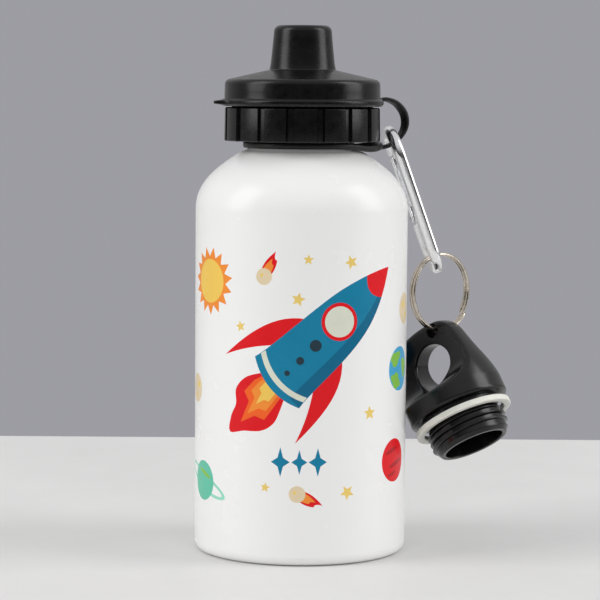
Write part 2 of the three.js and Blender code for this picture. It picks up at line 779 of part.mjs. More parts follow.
function eyeCut() {
  const c = loopCap;
  const side = THREE.MathUtils.degToRad(c.eyeSide);
  const throat = c.eyeThroat;
  const throatEnd = c.eyeCentre - throat.drop;
  const eyeSideAt = c.eyeRadius * Math.cos(side);
  const shape = new THREE.Shape();
  shape.absarc(0, c.eyeCentre, c.eyeRadius, -side, Math.PI + side, false);
  shape.quadraticCurveTo(-throat.radius, throatEnd, 0, c.eyeCentre - c.eyeTip);
  shape.quadraticCurveTo(throat.radius, throatEnd, eyeSideAt, c.eyeCentre - c.eyeRadius / 2);
  return plate(shape, 60, { curveSegments: 6 });
}

function capPlug() {
  const c = loopCap;
  const path = new THREE.Path();
  path.moveTo(c.bore, 0);
  path.lineTo(c.rimRadius, 0);
  path.lineTo(thread.coreRadius, 1.4);
  path.lineTo(thread.coreRadius, c.flange);
  path.lineTo(c.neckRadius, c.flange);
  path.lineTo(c.neckRadius, c.neckHeight + 1);
  path.lineTo(0, c.neckHeight + 1);
  path.lineTo(0, c.boreDepth);
  path.lineTo(c.bore - 1, c.boreDepth);
  path.lineTo(c.bore, c.boreDepth - 1);
  path.lineTo(c.bore, 0);
  return turned(path, c.segments);
}

// The split ring's hole follows the ring, a little askew to the loop's plane.
function ringHole() {
  const along = ringTangent.clone().applyQuaternion(capGroup.quaternion.clone().invert());
  const turn = THREE.MathUtils.radToDeg(Math.atan2(along.x, along.y));
  const rise = THREE.MathUtils.radToDeg(Math.asin(along.z));
  return rod(loopCap.holeRadius, 30, 14)
    .rotate([-90 + rise, 0, 0])
    .rotate([0, 0, -turn])
    .translate([loopCap.holeAcross, 0, loopCap.holeHeight]);
}

function loopCapSolid() {
  const crown = crownBell().intersect(sideSweep()).subtract(eyeCut()).subtract(ringHole());
  const ridge = threadRidge(thread.coreRadius, thread.maleTip, loopCap.threadFoot, thread.capTurns);
  return crown.add(capPlug()).add(ridge);
}

addMesh(capGroup, 'loop_cap', loopCapSolid(), blackGloss());
addMesh(capGroup, 'loop_cap_gasket', gasketSolid(loopCap.flange - GAP - gasket.height), silicone());

export default part;
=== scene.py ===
"""A white aluminium sports bottle with a black drinking lid, a tethered dust cover and a spare loop cap."""

import json
import math

import bmesh
import bpy
import numpy as np
from mathutils import Matrix, Vector
from mathutils.geometry import delaunay_2d_cdt


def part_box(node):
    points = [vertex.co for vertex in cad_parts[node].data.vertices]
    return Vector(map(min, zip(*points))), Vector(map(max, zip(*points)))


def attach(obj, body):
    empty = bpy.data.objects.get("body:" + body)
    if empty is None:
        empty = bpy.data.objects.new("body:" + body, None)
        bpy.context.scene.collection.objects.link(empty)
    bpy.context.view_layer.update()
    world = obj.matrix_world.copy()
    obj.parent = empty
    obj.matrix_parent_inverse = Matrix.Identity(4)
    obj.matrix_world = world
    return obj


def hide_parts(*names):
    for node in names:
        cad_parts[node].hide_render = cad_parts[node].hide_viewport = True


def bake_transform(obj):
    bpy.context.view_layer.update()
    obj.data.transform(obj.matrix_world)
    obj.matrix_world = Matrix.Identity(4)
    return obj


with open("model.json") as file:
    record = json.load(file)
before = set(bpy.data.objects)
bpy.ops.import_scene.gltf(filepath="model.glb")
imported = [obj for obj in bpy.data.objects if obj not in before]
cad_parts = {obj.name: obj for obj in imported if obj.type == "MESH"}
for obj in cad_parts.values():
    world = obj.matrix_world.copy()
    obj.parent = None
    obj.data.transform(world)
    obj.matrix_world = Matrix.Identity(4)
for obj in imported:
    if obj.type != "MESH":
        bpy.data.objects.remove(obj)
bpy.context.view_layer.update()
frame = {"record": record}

MM = 0.001  # shapes below are worked out in millimetres
TAU = 2 * math.pi
ALMOST_AXIS = 0.02  # radius at which a profile ends on its axis


# ---------------- places that the CAD gives

def middle(node):
    low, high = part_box(node)
    return np.array((low + high) / 2) / MM


def lowest(node):
    return np.array(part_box(node)[0]) / MM


def highest(node):
    return np.array(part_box(node)[1]) / MM


joints = {joint["name"]: joint for joint in frame["record"]["behaviour"]["joints"]}


def joint_place(name):
    return np.array(joints[name]["pos_m"]) / MM


def joint_axis(name):
    axis = np.array(joints[name]["axis"], float)
    return axis / np.linalg.norm(axis)


def degrees(value):
    return math.radians(value)


# ---------------- mesh helpers

def unit(vectors):
    vectors = np.asarray(vectors, float)
    return vectors / np.maximum(np.linalg.norm(vectors, axis=-1, keepdims=True), 1e-12)


def placed(points, origin, axes):
    """Points from a frame of its own, with its axes as rows, into the row frame."""
    return np.asarray(points, float) @ np.asarray(axes) + np.asarray(origin)


def rounded(corners, steps=6, closed=True):
    """An outline from (x, y, fillet) corners, with an arc at each corner that has a fillet."""
    outline = []
    count = len(corners)
    for i, (x, y, fillet) in enumerate(corners):
        here = np.array([x, y], float)
        ends = not closed and i in (0, count - 1)
        if fillet <= 0 or ends:
            outline.append(here)
            continue
        before = np.array(corners[i - 1][:2], float) - here
        after = np.array(corners[(i + 1) % count][:2], float) - here
        long_before, long_after = np.linalg.norm(before), np.linalg.norm(after)
        before, after = before / long_before, after / long_after
        half = math.acos(np.clip(before @ after, -1, 1)) / 2
        if half > degrees(88):
            outline.append(here)
            continue
        reach = min(fillet / math.tan(half), 0.48 * long_before, 0.48 * long_after)
        radius = reach * math.tan(half)
        centre = here + unit(before + after) * (radius / math.sin(half))
        first, last = here + before * reach - centre, here + after * reach - centre
        start = math.atan2(first[1], first[0])
        sweep = math.atan2(last[1], last[0]) - start
        sweep = (sweep + math.pi) % TAU - math.pi
        for k in range(steps + 1):
            angle = start + sweep * k / steps
            outline.append(centre + radius * np.array([math.cos(angle), math.sin(angle)]))
    return np.array(outline)


def bezier(points, steps):
    """A cubic or quadratic curve's points, without the first."""
    points = np.array(points, float)
    out = []
    for k in range(1, steps + 1):
        row, t = points, k / steps
        while len(row) > 1:
            row = row[:-1] * (1 - t) + row[1:] * t
        out.append(row[0])
    return np.array(out)


def spline(points, count):
    """A smooth curve through the points, evenly spaced along its length."""
    points = np.array(points, float)
    padded = np.vstack([2 * points[0] - points[1], points, 2 * points[-1] - points[-2]])
    dense = []
    for i in range(len(points) - 1):
        a, b, c, d = padded[i:i + 4]
        for t in np.linspace(0, 1, 24, endpoint=False):
            dense.append(0.5 * (2 * b + (c - a) * t + (2 * a - 5 * b + 4 * c - d) * t * t
                                + (3 * b - a - 3 * c + d) * t ** 3))
    dense = np.array(dense + [points[-1]])
    along = np.concatenate([[0], np.cumsum(np.linalg.norm(np.diff(dense, axis=0), axis=1))])
    wanted = np.linspace(0, along[-1], count)
    return np.stack([np.interp(wanted, along, dense[:, k]) for k in range(points.shape[1])], 1)


def grid_faces(rows, columns, wrap_rows, wrap_columns):
    faces = []
    for i in range(rows if wrap_rows else rows - 1):
        below, above = i * columns, ((i + 1) % rows) * columns
        for j in range(columns if wrap_columns else columns - 1):
            k = (j + 1) % columns
            faces.append((below + j, below + k, above + k, above + j))
    return faces


def lathe(outline, angles, shape=None):
    """A closed (radius, height) outline turned about Z. shape may move the points of each angle."""
    outline = np.asarray(outline, float)
    rings = []
    for angle in angles:
        radius, height = outline[:, 0], outline[:, 1]
        if shape:
            radius, height = shape(radius.copy(), height.copy(), angle)
        rings.append(np.stack([radius * math.cos(angle), radius * math.sin(angle), height], 1))
    return np.vstack(rings), grid_faces(len(angles), len(outline), True, True)


def round_angles(count, start=0.0):
    return [start + TAU * k / count for k in range(count)]


def tube(rings, closed=False):
    """A tube through rings of points, capped at both ends unless it closes on itself."""
    rings = np.asarray(rings, float)
    count, sides = rings.shape[:2]
    faces = grid_faces(count, sides, closed, True)
    if not closed:
        faces.append(tuple(range(sides)))
        faces.append(tuple((count - 1) * sides + k for k in reversed(range(sides))))
    return rings.reshape(-1, 3), faces


def oval(half_width, half_height, power=2.0, sides=16):
    """A section from round (power 2) to nearly square."""
    angle = np.arange(sides) * TAU / sides
    c, s = np.cos(angle), np.sin(angle)
    return np.stack([half_width * np.sign(c) * np.abs(c) ** (2 / power),
                     half_height * np.sign(s) * np.abs(s) ** (2 / power)], 1)


def together(*parts):
    points, faces, start = [], [], 0
    for some_points, some_faces in parts:
        points.append(np.asarray(some_points, float))
        faces.extend(tuple(i + start for i in face) for face in some_faces)
        start += len(some_points)
    return np.vstack(points), faces


PITCH = 2.2
MALE_CORE, MALE_TIP = 13.1, 14.3  # radii of the thread on the lid and on the loop cap
MALE_TURNS = 3.2


def helix_ridge(root, tip, foot, turns, root_width=1.25, tip_width=0.5, steps=64):
    """A thread ridge with a rounded top, which fades out in a quarter turn at both ends."""
    inward = math.copysign(1, root - tip)
    embedded = root + inward * 0.3
    fillet = 0.22
    section = rounded([(embedded, -root_width / 2, 0), (tip, -tip_width / 2, fillet),
                       (tip, tip_width / 2, fillet), (embedded, root_width / 2, 0)], 3)
    rings = []
    total = round(turns * steps)
    for k in range(total + 1):
        angle = TAU * turns * k / total
        fade = max(min(1, k * 4 / steps, (total - k) * 4 / steps), 0.02)
        radius = embedded + (section[:, 0] - embedded) * fade
        height = section[:, 1] * fade + foot + PITCH * angle / TAU
        rings.append(np.stack([radius * math.cos(angle), radius * math.sin(angle), height], 1))
    return tube(rings)


def pin(radius, length, fillet=0.2, sides=32):
    """A pin along Z with rounded ends, centred."""
    half = length / 2
    path = rounded([(0.0, -half, 0), (radius, -half, fillet), (radius, half, fillet),
                    (0.0, half, 0)], 4, False)
    path[0, 0] = path[-1, 0] = 1e-4
    return lathe(path, round_angles(sides))


# ---------------- surfaces given by a distance

def outline_distance(p, outline):
    """Signed distance from 2-D points to a closed outline, negative inside it."""
    nearest = np.full(len(p), 1e18)
    inside = np.zeros(len(p), bool)
    for a, b in zip(outline, np.roll(outline, -1, axis=0)):
        edge = b - a
        length = edge @ edge
        if length < 1e-12:
            continue
        away = p - a
        t = np.clip((away @ edge) / length, 0, 1)
        gap = away - t[:, None] * edge
        nearest = np.minimum(nearest, np.einsum("ij,ij->i", gap, gap))
        crosses = (a[1] > p[:, 1]) != (b[1] > p[:, 1])
        if abs(edge[1]) > 1e-12:
            inside ^= crosses & (p[:, 0] < a[0] + (p[:, 1] - a[1]) * edge[0] / edge[1])
    return np.where(inside, -1, 1) * np.sqrt(nearest)


def both(a, b, fillet):
    """The space in both, with its edge rounded over."""
    h = np.maximum(fillet - np.abs(a - b), 0) / fillet
    return np.maximum(a, b) + h * h * fillet / 4


def either(a, b, fillet):
    return -both(-a, -b, fillet)


def slab(flat, across, half, fillet):
    """An outline's distance made into a plate, with rounded edges."""
    a, b = flat + fillet, np.abs(across) - half + fillet
    return np.hypot(np.maximum(a, 0), np.maximum(b, 0)) + np.minimum(np.maximum(a, b), 0) - fillet


def box_distance(p, low, high):
    centre, half = (np.array(low) + high) / 2, (np.array(high) - low) / 2
    away = np.abs(p - centre) - half
    return np.linalg.norm(np.maximum(away, 0), axis=1) + np.minimum(away.max(1), 0)


def skin_of(distance, low, high, step, rounds=7):
    """The surface where a distance is nil, as an even mesh of quads."""
    axes = [np.arange(low[k] - 1.5 * step, high[k] + 2.5 * step, step) for k in range(3)]
    grid = np.stack(np.meshgrid(*axes, indexing="ij"), -1)
    shape = grid.shape[:3]
    inside = (distance(grid.reshape(-1, 3)) < 0).reshape(shape)
    cells = tuple(n - 1 for n in shape)
    index = -np.ones(cells, int)
    total = np.zeros(cells, int)
    for i in (0, 1):
        for j in (0, 1):
            for k in (0, 1):
                total += inside[i:cells[0] + i, j:cells[1] + j, k:cells[2] + k]
    active = (total > 0) & (total < 8)
    index[active] = np.arange(active.sum())
    points = grid[:-1, :-1, :-1][active] + step / 2
    quads = []
    for a in range(3):
        b, c = (a + 1) % 3, (a + 2) % 3
        first, second = [slice(None)] * 3, [slice(None)] * 3
        first[a], second[a] = slice(0, -1), slice(1, None)
        from_inside = inside[tuple(first)]
        at = np.argwhere(from_inside != inside[tuple(second)])
        outward = from_inside[tuple(at.T)]
        corners = []
        for db, dc in ((-1, -1), (0, -1), (0, 0), (-1, 0)):
            moved = at.copy()
            moved[:, b] += db
            moved[:, c] += dc
            corners.append(index[tuple(moved.T)])
        found = np.stack(corners, 1)
        found[~outward] = found[~outward][:, ::-1]
        quads.append(found)
    quads = np.vstack(quads)
    start, end = quads.ravel(), np.roll(quads, -1, axis=1).ravel()
    degree = np.bincount(start, minlength=len(points)) + np.bincount(end, minlength=len(points))
    keep = 0.4  # of each point's own place when it is evened out with its neighbours
    for turn in range(rounds):
        if turn < rounds - 1:
            total = np.zeros_like(points)
            np.add.at(total, start, points[end])
            np.add.at(total, end, points[start])
            points = points * keep + (1 - keep) * total / degree[:, None]
        for _ in range(2):
            points = towards(distance, points, step)
    return points, [tuple(q) for q in quads.tolist()]


def slope_of(distance, points):
    """How the distance grows along X, Y and Z at each point."""
    nudge = 0.02
    slope = np.zeros_like(points)
    for k in range(3):
        shift = np.zeros(3)
        shift[k] = nudge
        slope[:, k] = (distance(points + shift) - distance(points - shift)) / (2 * nudge)
    return slope


def towards(distance, points, step):
    """One Newton step of the points to where the distance is nil."""
    value = distance(points)
    slope = slope_of(distance, points)
    move = -value[:, None] * slope / np.maximum((slope ** 2).sum(1), 0.2)[:, None]
    size = np.linalg.norm(move, axis=1, keepdims=True)
    return points + move * np.minimum(1, step / np.maximum(size, 1e-9))


# ---------------- materials

def map_range(nodes, links, value, start, end, low, high):
    """A node that goes from low to high as a value goes from start to end."""
    node = nodes.new("ShaderNodeMapRange")
    for socket, number in (("From Min", start), ("From Max", end), ("To Min", low), ("To Max", high)):
        node.inputs[socket].default_value = number
    links.new(value, node.inputs["Value"])
    return node.outputs["Result"]


class Finish:
    """A Principled material whose colour, roughness and relief vary over the surface."""

    def __init__(self, name, base, metallic=0.0, coat=0.0, coat_roughness=0.1, specular=0.5, ior=1.5):
        self.material = bpy.data.materials.new(name)
        self.material.use_nodes = True
        self.material.diffuse_color = (*base, 1)
        self.nodes, self.links = self.material.node_tree.nodes, self.material.node_tree.links
        self.shader = self.nodes["Principled BSDF"]
        self.base = base
        self.set("Base Color", (*base, 1))
        self.set("Metallic", metallic)
        self.set("Coat Weight", coat)
        self.set("Coat Roughness", coat_roughness)
        self.set("Specular IOR Level", specular)
        self.set("IOR", ior)
        self.place = self.nodes.new("ShaderNodeTexCoord").outputs["Object"]
        self.height = None

    def set(self, socket, value):
        self.shader.inputs[socket].default_value = value

    def noise(self, size_mm, detail=4.0):
        node = self.nodes.new("ShaderNodeTexNoise")
        node.inputs["Scale"].default_value = 1 / (size_mm * MM)
        node.inputs["Detail"].default_value = detail
        node.inputs["Roughness"].default_value = 0.55
        self.links.new(self.place, node.inputs["Vector"])
        return node.outputs["Fac"]

    def remap(self, value, low, high, start=0.3, end=0.7):
        return map_range(self.nodes, self.links, value, start, end, low, high)

    def rough(self, size_mm, low, high):
        self.links.new(self.remap(self.noise(size_mm), low, high), self.shader.inputs["Roughness"])
        return self

    def tint(self, size_mm, other, start=0.35, end=0.75):
        mix = self.nodes.new("ShaderNodeMix")
        mix.data_type = "RGBA"
        mix.inputs["A"].default_value = (*self.base, 1)
        mix.inputs["B"].default_value = (*other, 1)
        self.links.new(self.remap(self.noise(size_mm), 0, 1, start, end), mix.inputs["Factor"])
        self.links.new(mix.outputs["Result"], self.shader.inputs["Base Color"])
        return self

    def relief(self, size_mm, depth_mm, strength=1.0, detail=3.0):
        bump = self.nodes.new("ShaderNodeBump")
        bump.inputs["Strength"].default_value = strength
        bump.inputs["Distance"].default_value = depth_mm * MM
        self.links.new(self.noise(size_mm, detail), bump.inputs["Height"])
        if self.height:
            self.links.new(self.height, bump.inputs["Normal"])
        self.height = bump.outputs["Normal"]
        self.links.new(self.height, self.shader.inputs["Normal"])
        return self


def colour(red, green, blue):
    """A screen colour, 0 to 255, as the linear values that a shader takes."""
    values = [v / 255 for v in (red, green, blue)]
    return tuple(((v + 0.055) / 1.055) ** 2.4 if v > 0.04 else v / 12.92 for v in values)


def coated(name, base, other, gloss):
    """The bottle's baked coating, or the ink that is baked into it."""
    return (Finish(name, base, coat=0.2 * gloss, coat_roughness=0.14, specular=gloss)
            .tint(9.0, other)
            .rough(16.0, 0.268, 0.275)
            .relief(3.0, 0.001, 0.4, 1.0)
            .relief(16.0, 0.008, 0.3, 1.0)
            .material)


WHITE = coated("white_coat", (0.86, 0.86, 0.85), (0.855, 0.855, 0.845), 0.34)
INK_GLOSS = 0.15
INK_LIMIT = 0.87

PRINT_GAIN = 1.04  # the colours below are as seen, on a wall that is seen a little darker than it is
inks = {
    "red": (218, 25, 33),
    "teal": (22, 123, 158),
    "deep_teal": (16, 99, 133),
    "cream": (214, 217, 200),
    "slate": (38, 56, 66),
    "orange": (243, 140, 56),
    "amber": (240, 98, 40),
    "yellow": (245, 196, 92),
    "gold": (231, 201, 112),
    "sand": (222, 204, 170),
    "sky": (72, 162, 206),
    "leaf": (130, 186, 79),
    "mint": (98, 190, 162),
    "pale_mint": (150, 214, 192),
    "rust": (176, 18, 26),
}


def ink(name, screen):
    base = np.minimum(np.array(colour(*screen)) * PRINT_GAIN, INK_LIMIT)
    return coated("ink_" + name, tuple(base), tuple(base * 0.94), INK_GLOSS)


INK = {name: ink(name, screen) for name, screen in inks.items()}


def finished(name, base, other, tint_mm, rough, relief, **looks):
    """A material with a second colour over it in patches, an uneven roughness and a faint relief."""
    return Finish(name, base, **looks).tint(tint_mm, other).rough(*rough).relief(*relief).material


BLACK = finished("black_lid", (0.0015, 0.0015, 0.0017), (0.0035, 0.0035, 0.0038), 6.0,
                 (3.0, 0.23, 0.31), (1.0, 0.004, 0.35, 1.0), specular=0.32)
BAND = finished("black_band", (0.002, 0.002, 0.0022), (0.004, 0.004, 0.0044), 5.0,
                (2.0, 0.34, 0.46), (1.0, 0.005, 0.4, 1.0), specular=0.38)
GLOSS = finished("black_gloss", (0.0010, 0.0010, 0.0012), (0.003, 0.003, 0.0034), 7.0,
                 (4.0, 0.20, 0.28), (5.0, 0.02, 0.3, 1.0), specular=0.42)

silicone = Finish("silicone", (0.80, 0.80, 0.74), specular=0.35, ior=1.41)
silicone.set("Subsurface Weight", 0.35)
silicone.set("Subsurface Radius", (0.0018, 0.0017, 0.0014))
SILICONE = silicone.tint(3.0, (0.74, 0.74, 0.68)).rough(1.0, 0.36, 0.5).relief(0.4, 0.01, 0.3).material

SEAL = finished("dark_seal", (0.012, 0.012, 0.012), (0.02, 0.02, 0.02), 2.0,
                (0.6, 0.45, 0.6), (0.2, 0.01, 0.3), specular=0.35)
ALUMINIUM = finished("bright_aluminium", (0.90, 0.90, 0.91), (0.84, 0.84, 0.86), 6.0,
                     (5.0, 0.16, 0.24), (6.0, 0.02, 0.3, 1.0), metallic=1.0)
STEEL = finished("steel_pin", (0.52, 0.52, 0.54), (0.40, 0.40, 0.42), 1.0,
                 (0.4, 0.26, 0.42), (0.2, 0.01, 0.4), metallic=1.0)
NICKEL = finished("nickel_wire", (0.64, 0.58, 0.50), (0.50, 0.44, 0.36), 1.6,
                  (3.0, 0.16, 0.26), (3.0, 0.006, 0.3, 1.0), metallic=1.0)


# ---------------- pieces

def piece(name, shape, materials, body, nodes=(), faces_use=None, sharp=None, recalc=True):
    """One object, in place, that moves with a body and stands for its CAD nodes."""
    points, faces = shape
    mesh = bpy.data.meshes.new(name)
    mesh.from_pydata((np.asarray(points) * MM).tolist(), [], faces)
    materials = materials if isinstance(materials, list) else [materials]
    for material in materials:
        mesh.materials.append(material)
    if faces_use is not None:
        mesh.polygons.foreach_set("material_index", np.asarray(faces_use, np.int32))
    if recalc:
        work = bmesh.new()
        work.from_mesh(mesh)
        bmesh.ops.remove_doubles(work, verts=work.verts, dist=1e-7)
        bmesh.ops.recalc_face_normals(work, faces=work.faces)
        work.to_mesh(mesh)
        work.free()
    mesh.shade_smooth()
    if sharp:
        mesh.set_sharp_from_angle(angle=degrees(sharp))
    obj = bpy.data.objects.new(name, mesh)
    bpy.context.scene.collection.objects.link(obj)
    if body:
        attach(obj, body)
    if nodes:
        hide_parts(*nodes)
    return obj


def shade_by(obj, distance, origin, axes, count):
    """Shades an object's first points by the slope of the distance that they were made from."""
    mesh = obj.data
    corners = np.zeros(len(mesh.loops) * 3, np.float32)
    mesh.corner_normals.foreach_get("vector", corners)
    corners = corners.reshape(-1, 3)
    which = np.zeros(len(mesh.loops), np.int32)
    mesh.loops.foreach_get("vertex_index", which)
    spots = np.array([v.co[:] for v in mesh.vertices[:count]]) / MM
    slopes = unit(slope_of(distance, (spots - origin) @ np.asarray(axes).T)) @ np.asarray(axes)
    mine = which < count
    corners[mine] = slopes[which[mine]]
    mesh.normals_split_custom_set(corners.tolist())


# ---------------- the print
# Outlines are on the unrolled wall, as (along, height). Along is 0 at the front and grows to the right.

def turned_by(points, angle, centre=(0, 0)):
    c, s = math.cos(angle), math.sin(angle)
    return np.asarray(points, float) @ np.array([[c, s], [-s, c]]) + centre


def disc(centre, radius, count=48):
    angle = np.arange(count) * TAU / count
    return np.array(centre) + radius * np.stack([np.cos(angle), np.sin(angle)], 1)


def star(centre, radius, turn, points=5, inner=0.45):
    angle = degrees(turn) + np.arange(2 * points) * math.pi / points
    size = np.where(np.arange(2 * points) % 2 == 0, radius, radius * inner)
    return np.array(centre) + np.stack([size * np.cos(angle), size * np.sin(angle)], 1)


def blob(centre, across, high, turn=0.0, waves=3, depth=0.16, count=40):
    """An oval with a wavy edge."""
    angle = np.arange(count) * TAU / count
    size = 1 + depth * np.sin(waves * angle + 1.0)
    flat = np.stack([across * size * np.cos(angle), high * size * np.sin(angle)], 1)
    return turned_by(flat, degrees(turn), centre)


def clipped(outline, centre, radius):
    """An outline kept just inside a disc."""
    away = outline - centre
    size = np.linalg.norm(away, axis=1, keepdims=True)
    return centre + away * np.minimum(1, radius * 0.985 / np.maximum(size, 1e-9))


ROCKET_TAIL = (-7.6, 62.4)
ROCKET_TURN = degrees(42)


def rocket(points):
    """From (along, across) in the rocket's own frame to the wall."""
    return turned_by(points, ROCKET_TURN, ROCKET_TAIL)


def mirrored(side):
    side = np.asarray(side, float)
    return np.vstack([side, side[::-1] * (1, -1)])


# The rocket's outlines, from the middle of its tail: (along, across)
tail_edge = np.vstack([[(-3.5, 0.0)], bezier([(-3.5, 0.0), (-3.5, 6.0), (-0.6, 11.4)], 8)])
hull = np.vstack([tail_edge, bezier([(-0.6, 11.4), (7, 9.6), (25, 10.6), (36, 8.4)], 14),
                  bezier([(36, 8.4), (46, 6.2), (52, 2.6), (56, 0.0)], 10)])
fin = np.vstack([[(21, 9.2)], bezier([(21, 9.2), (15, 17.0), (5, 18.6), (-9.6, 19.4)], 12),
                 bezier([(-9.6, 19.4), (-1.6, 16.2), (3.4, 12.8), (8, 9.2)], 10)])
flame_curve = spline([(-2.0, 5.6), (-8.0, 8.4), (-13.6, 8.0), (-17.0, 4.2), (-21.4, 2.4), (-25.4, -1.2),
                      (-20.6, -4.6), (-15.6, -8.6), (-10.6, -9.6), (-6.0, -7.8), (-2.0, -5.6)], 48)
flame_edge = np.vstack([[(0, 5.0)], flame_curve, [(0, -5.0)]])
flame_heart = np.array([(-1.0, 4.2), (-6.0, 5.6), (-11.6, 5.2), (-12.4, 1.6), (-19.6, -1.6), (-14.0, -3.4),
                        (-12.2, -6.6), (-7.0, -5.6), (-1.0, -4.2)])


def nose_cone(start, bulge):
    """The hull's tip, from an edge that bulges towards the tail."""
    side = hull[hull[:, 0] > start]
    width = np.interp(start, hull[10:, 0], hull[10:, 1])
    edge = bezier([(start - bulge, 0), (start - bulge, width * 0.5), (start, width)], 8)
    return mirrored(np.vstack([[(start - bulge, 0)], edge, side]))


def band_across(start, end):
    """A band that follows the tail's edge."""
    return np.vstack([(tail_edge + (start, 0)) * (1, 0.95), ((tail_edge + (end, 0)) * (1, 0.92))[::-1]])


hull_side = hull[len(tail_edge) - 1:]
TRIM = (2.4, 4.3)  # a band's start and end from the tail's edge
PORTHOLE = (28.8, 0.8)
shade = np.vstack([hull_side * (1, -1), hull_side[::-1] * (1, -0.60)])

SUN = (-36.4, 94.5)
RINGED = (-40.8, 26.0)
BLUE_DISC, RED_DISC, MINT_DISC = ((42.6, 64.6), 7.6), ((38.8, 33.6), 7.4), (RINGED, 6.8)


def patch(planet, right, up, *shape):
    """A blob on a planet, kept within its edge."""
    centre, size = planet
    return clipped(blob((centre[0] + right, centre[1] + up), *shape), centre, size)


# Each layer is an ink's name and an outline, and lies over the ones before it.
layers = [
    ("orange", star(SUN, 11.6, 8, 15, 0.72)),
    ("yellow", disc(SUN, 7.4)),
    ("red", rocket(flame_edge)),
    ("amber", rocket(flame_heart)),
    ("orange", rocket(flame_heart * (0.80, 0.72))),
    ("yellow", rocket(flame_heart * (0.56, 0.46))),
    ("red", rocket(fin)),
    ("red", rocket(fin * (1, -1))),
    ("teal", rocket(mirrored(hull))),
    ("deep_teal", rocket(shade)),
    ("cream", rocket(band_across(*TRIM))),
    ("cream", rocket(band_across(*TRIM) * (1, -1))),
    ("red", rocket(nose_cone(46.6, 2.6))),
    ("red", rocket(disc(PORTHOLE, 6.4))),
    ("cream", rocket(disc(PORTHOLE, 5.2))),
    ("slate", rocket(disc((17.4, 0.5), 2.0, 28))),
    ("slate", rocket(disc((10.2, 0.2), 1.35, 24))),
    ("slate", rocket(disc((4.2, 0.0), 0.95, 20))),
    ("sky", disc(*BLUE_DISC)),
    ("leaf", patch(BLUE_DISC, -3.0, 3.6, 3.6, 2.4, 20)),
    ("leaf", patch(BLUE_DISC, -2.8, -4.0, 3.4, 2.6, -30, 4)),
    ("leaf", patch(BLUE_DISC, 4.4, 0.2, 2.4, 3.4, 10, 3)),
    ("red", disc(*RED_DISC)),
    ("rust", patch(RED_DISC, -1.6, 3.4, 3.6, 0.8, 12, 2, 0.1)),
    ("rust", patch(RED_DISC, 1.4, -1.2, 4.2, 0.9, 12, 2, 0.1)),
    ("rust", patch(RED_DISC, -1.2, -4.6, 2.4, 0.7, 12, 2, 0.1)),
    ("pale_mint", blob(RINGED, 13.7, 3.1, -20, 2, 0.0)),
    ("white", blob(RINGED, 12.0, 1.9, -20, 2, 0.0)),
    ("mint", disc(*MINT_DISC)),
    ("leaf", patch(MINT_DISC, 1.0, 2.6, 3.8, 0.8, -20, 2, 0.1)),
    ("sand", disc((47.6, 84.8), 5.4)),
    ("gold", disc((46.0, 86.2), 1.3, 20)),
    ("gold", disc((49.0, 82.6), 1.0, 20)),
    ("sand", disc((-47.6, 57.0), 5.0)),
    ("gold", disc((-45.4, 58.4), 1.2, 20)),
    ("gold", disc((-48.6, 54.4), 0.9, 20)),
]

comet_tail = np.vstack([[(0.6, 1.7)], bezier([(0.6, 1.7), (3.6, 2.5), (6.4, 1.7), (9.4, 0.3)], 7),
                        bezier([(9.4, 0.3), (7.4, 0.0), (6.6, -0.6), (6.9, -1.5)], 4),
                        bezier([(6.9, -1.5), (5.0, -2.2), (3.0, -2.3), (0.6, -1.7)], 6)])
for centre, turn in (((-12.6, 97.2), 62), ((-0.9, 24.6), -26)):
    layers += [("red", turned_by(comet_tail, degrees(turn), centre)),
               ("orange", turned_by(comet_tail * 0.72, degrees(turn), centre)),
               ("sand", disc(centre, 2.8, 32)),
               ("gold", disc((centre[0] - 0.8, centre[1] + 0.5), 0.6, 16))]

stars = [  # (along, height, size, turn)
    (2.4, 103.0, 1.9, 15), (17.3, 102.0, 2.5, 40), (-0.9, 89.8, 2.5, 5), (-21.3, 80.2, 2.0, 30),
    (25.2, 51.0, 2.6, 20), (16.4, 24.8, 2.7, 50), (-11.8, 26.6, 1.8, 10), (66.0, 98.0, 2.5, 12),
    (88.0, 84.0, 2.2, 44), (-72.0, 78.0, 2.4, 20), (-96.0, 104.0, 2.2, 55), (60.0, 48.0, 2.0, 30),
    (82.0, 24.0, 2.5, 8), (-70.0, 36.0, 2.2, 48), (-88.0, 20.0, 1.9, 16), (104.0, 58.0, 2.4, 33),
    (-104.0, 62.0, 2.0, 5),
]
for u, z, size, turn in stars:
    layers.append(("gold", star((u, z), size, turn)))

SPARKLE_HEIGHT = 35.4
for u, wide, high in ((-6.6, 3.2, 5.0), (-0.2, 2.7, 4.2), (6.0, 3.1, 4.8)):
    layers.append(("teal", star((0, 0), 1, 90, 4, 0.42) * (wide, high) + (u, SPARKLE_HEIGHT)))

planets_behind = [
    ("mint", (-86.0, 52.0), 6.2), ("red", (92.0, 104.0), 4.6), ("sky", (78.0, 66.0), 5.6),
    ("orange", (-80.0, 98.0), 5.2), ("sand", (-104.0, 34.0), 4.2), ("teal", (101.0, 34.0), 5.4),
]
for name, centre, size in planets_behind:
    layers.append((name, disc(centre, size)))


# ---------------- bottle

BODY = highest("bottle_shell")[0]  # radius of the wall
MOUTH = highest("bottle_shell")[2]
WALL_BOTTOM, WALL_TOP = 4.0, 118.0
SIDES = 256
WALL = 1.0
BORE = 14.75


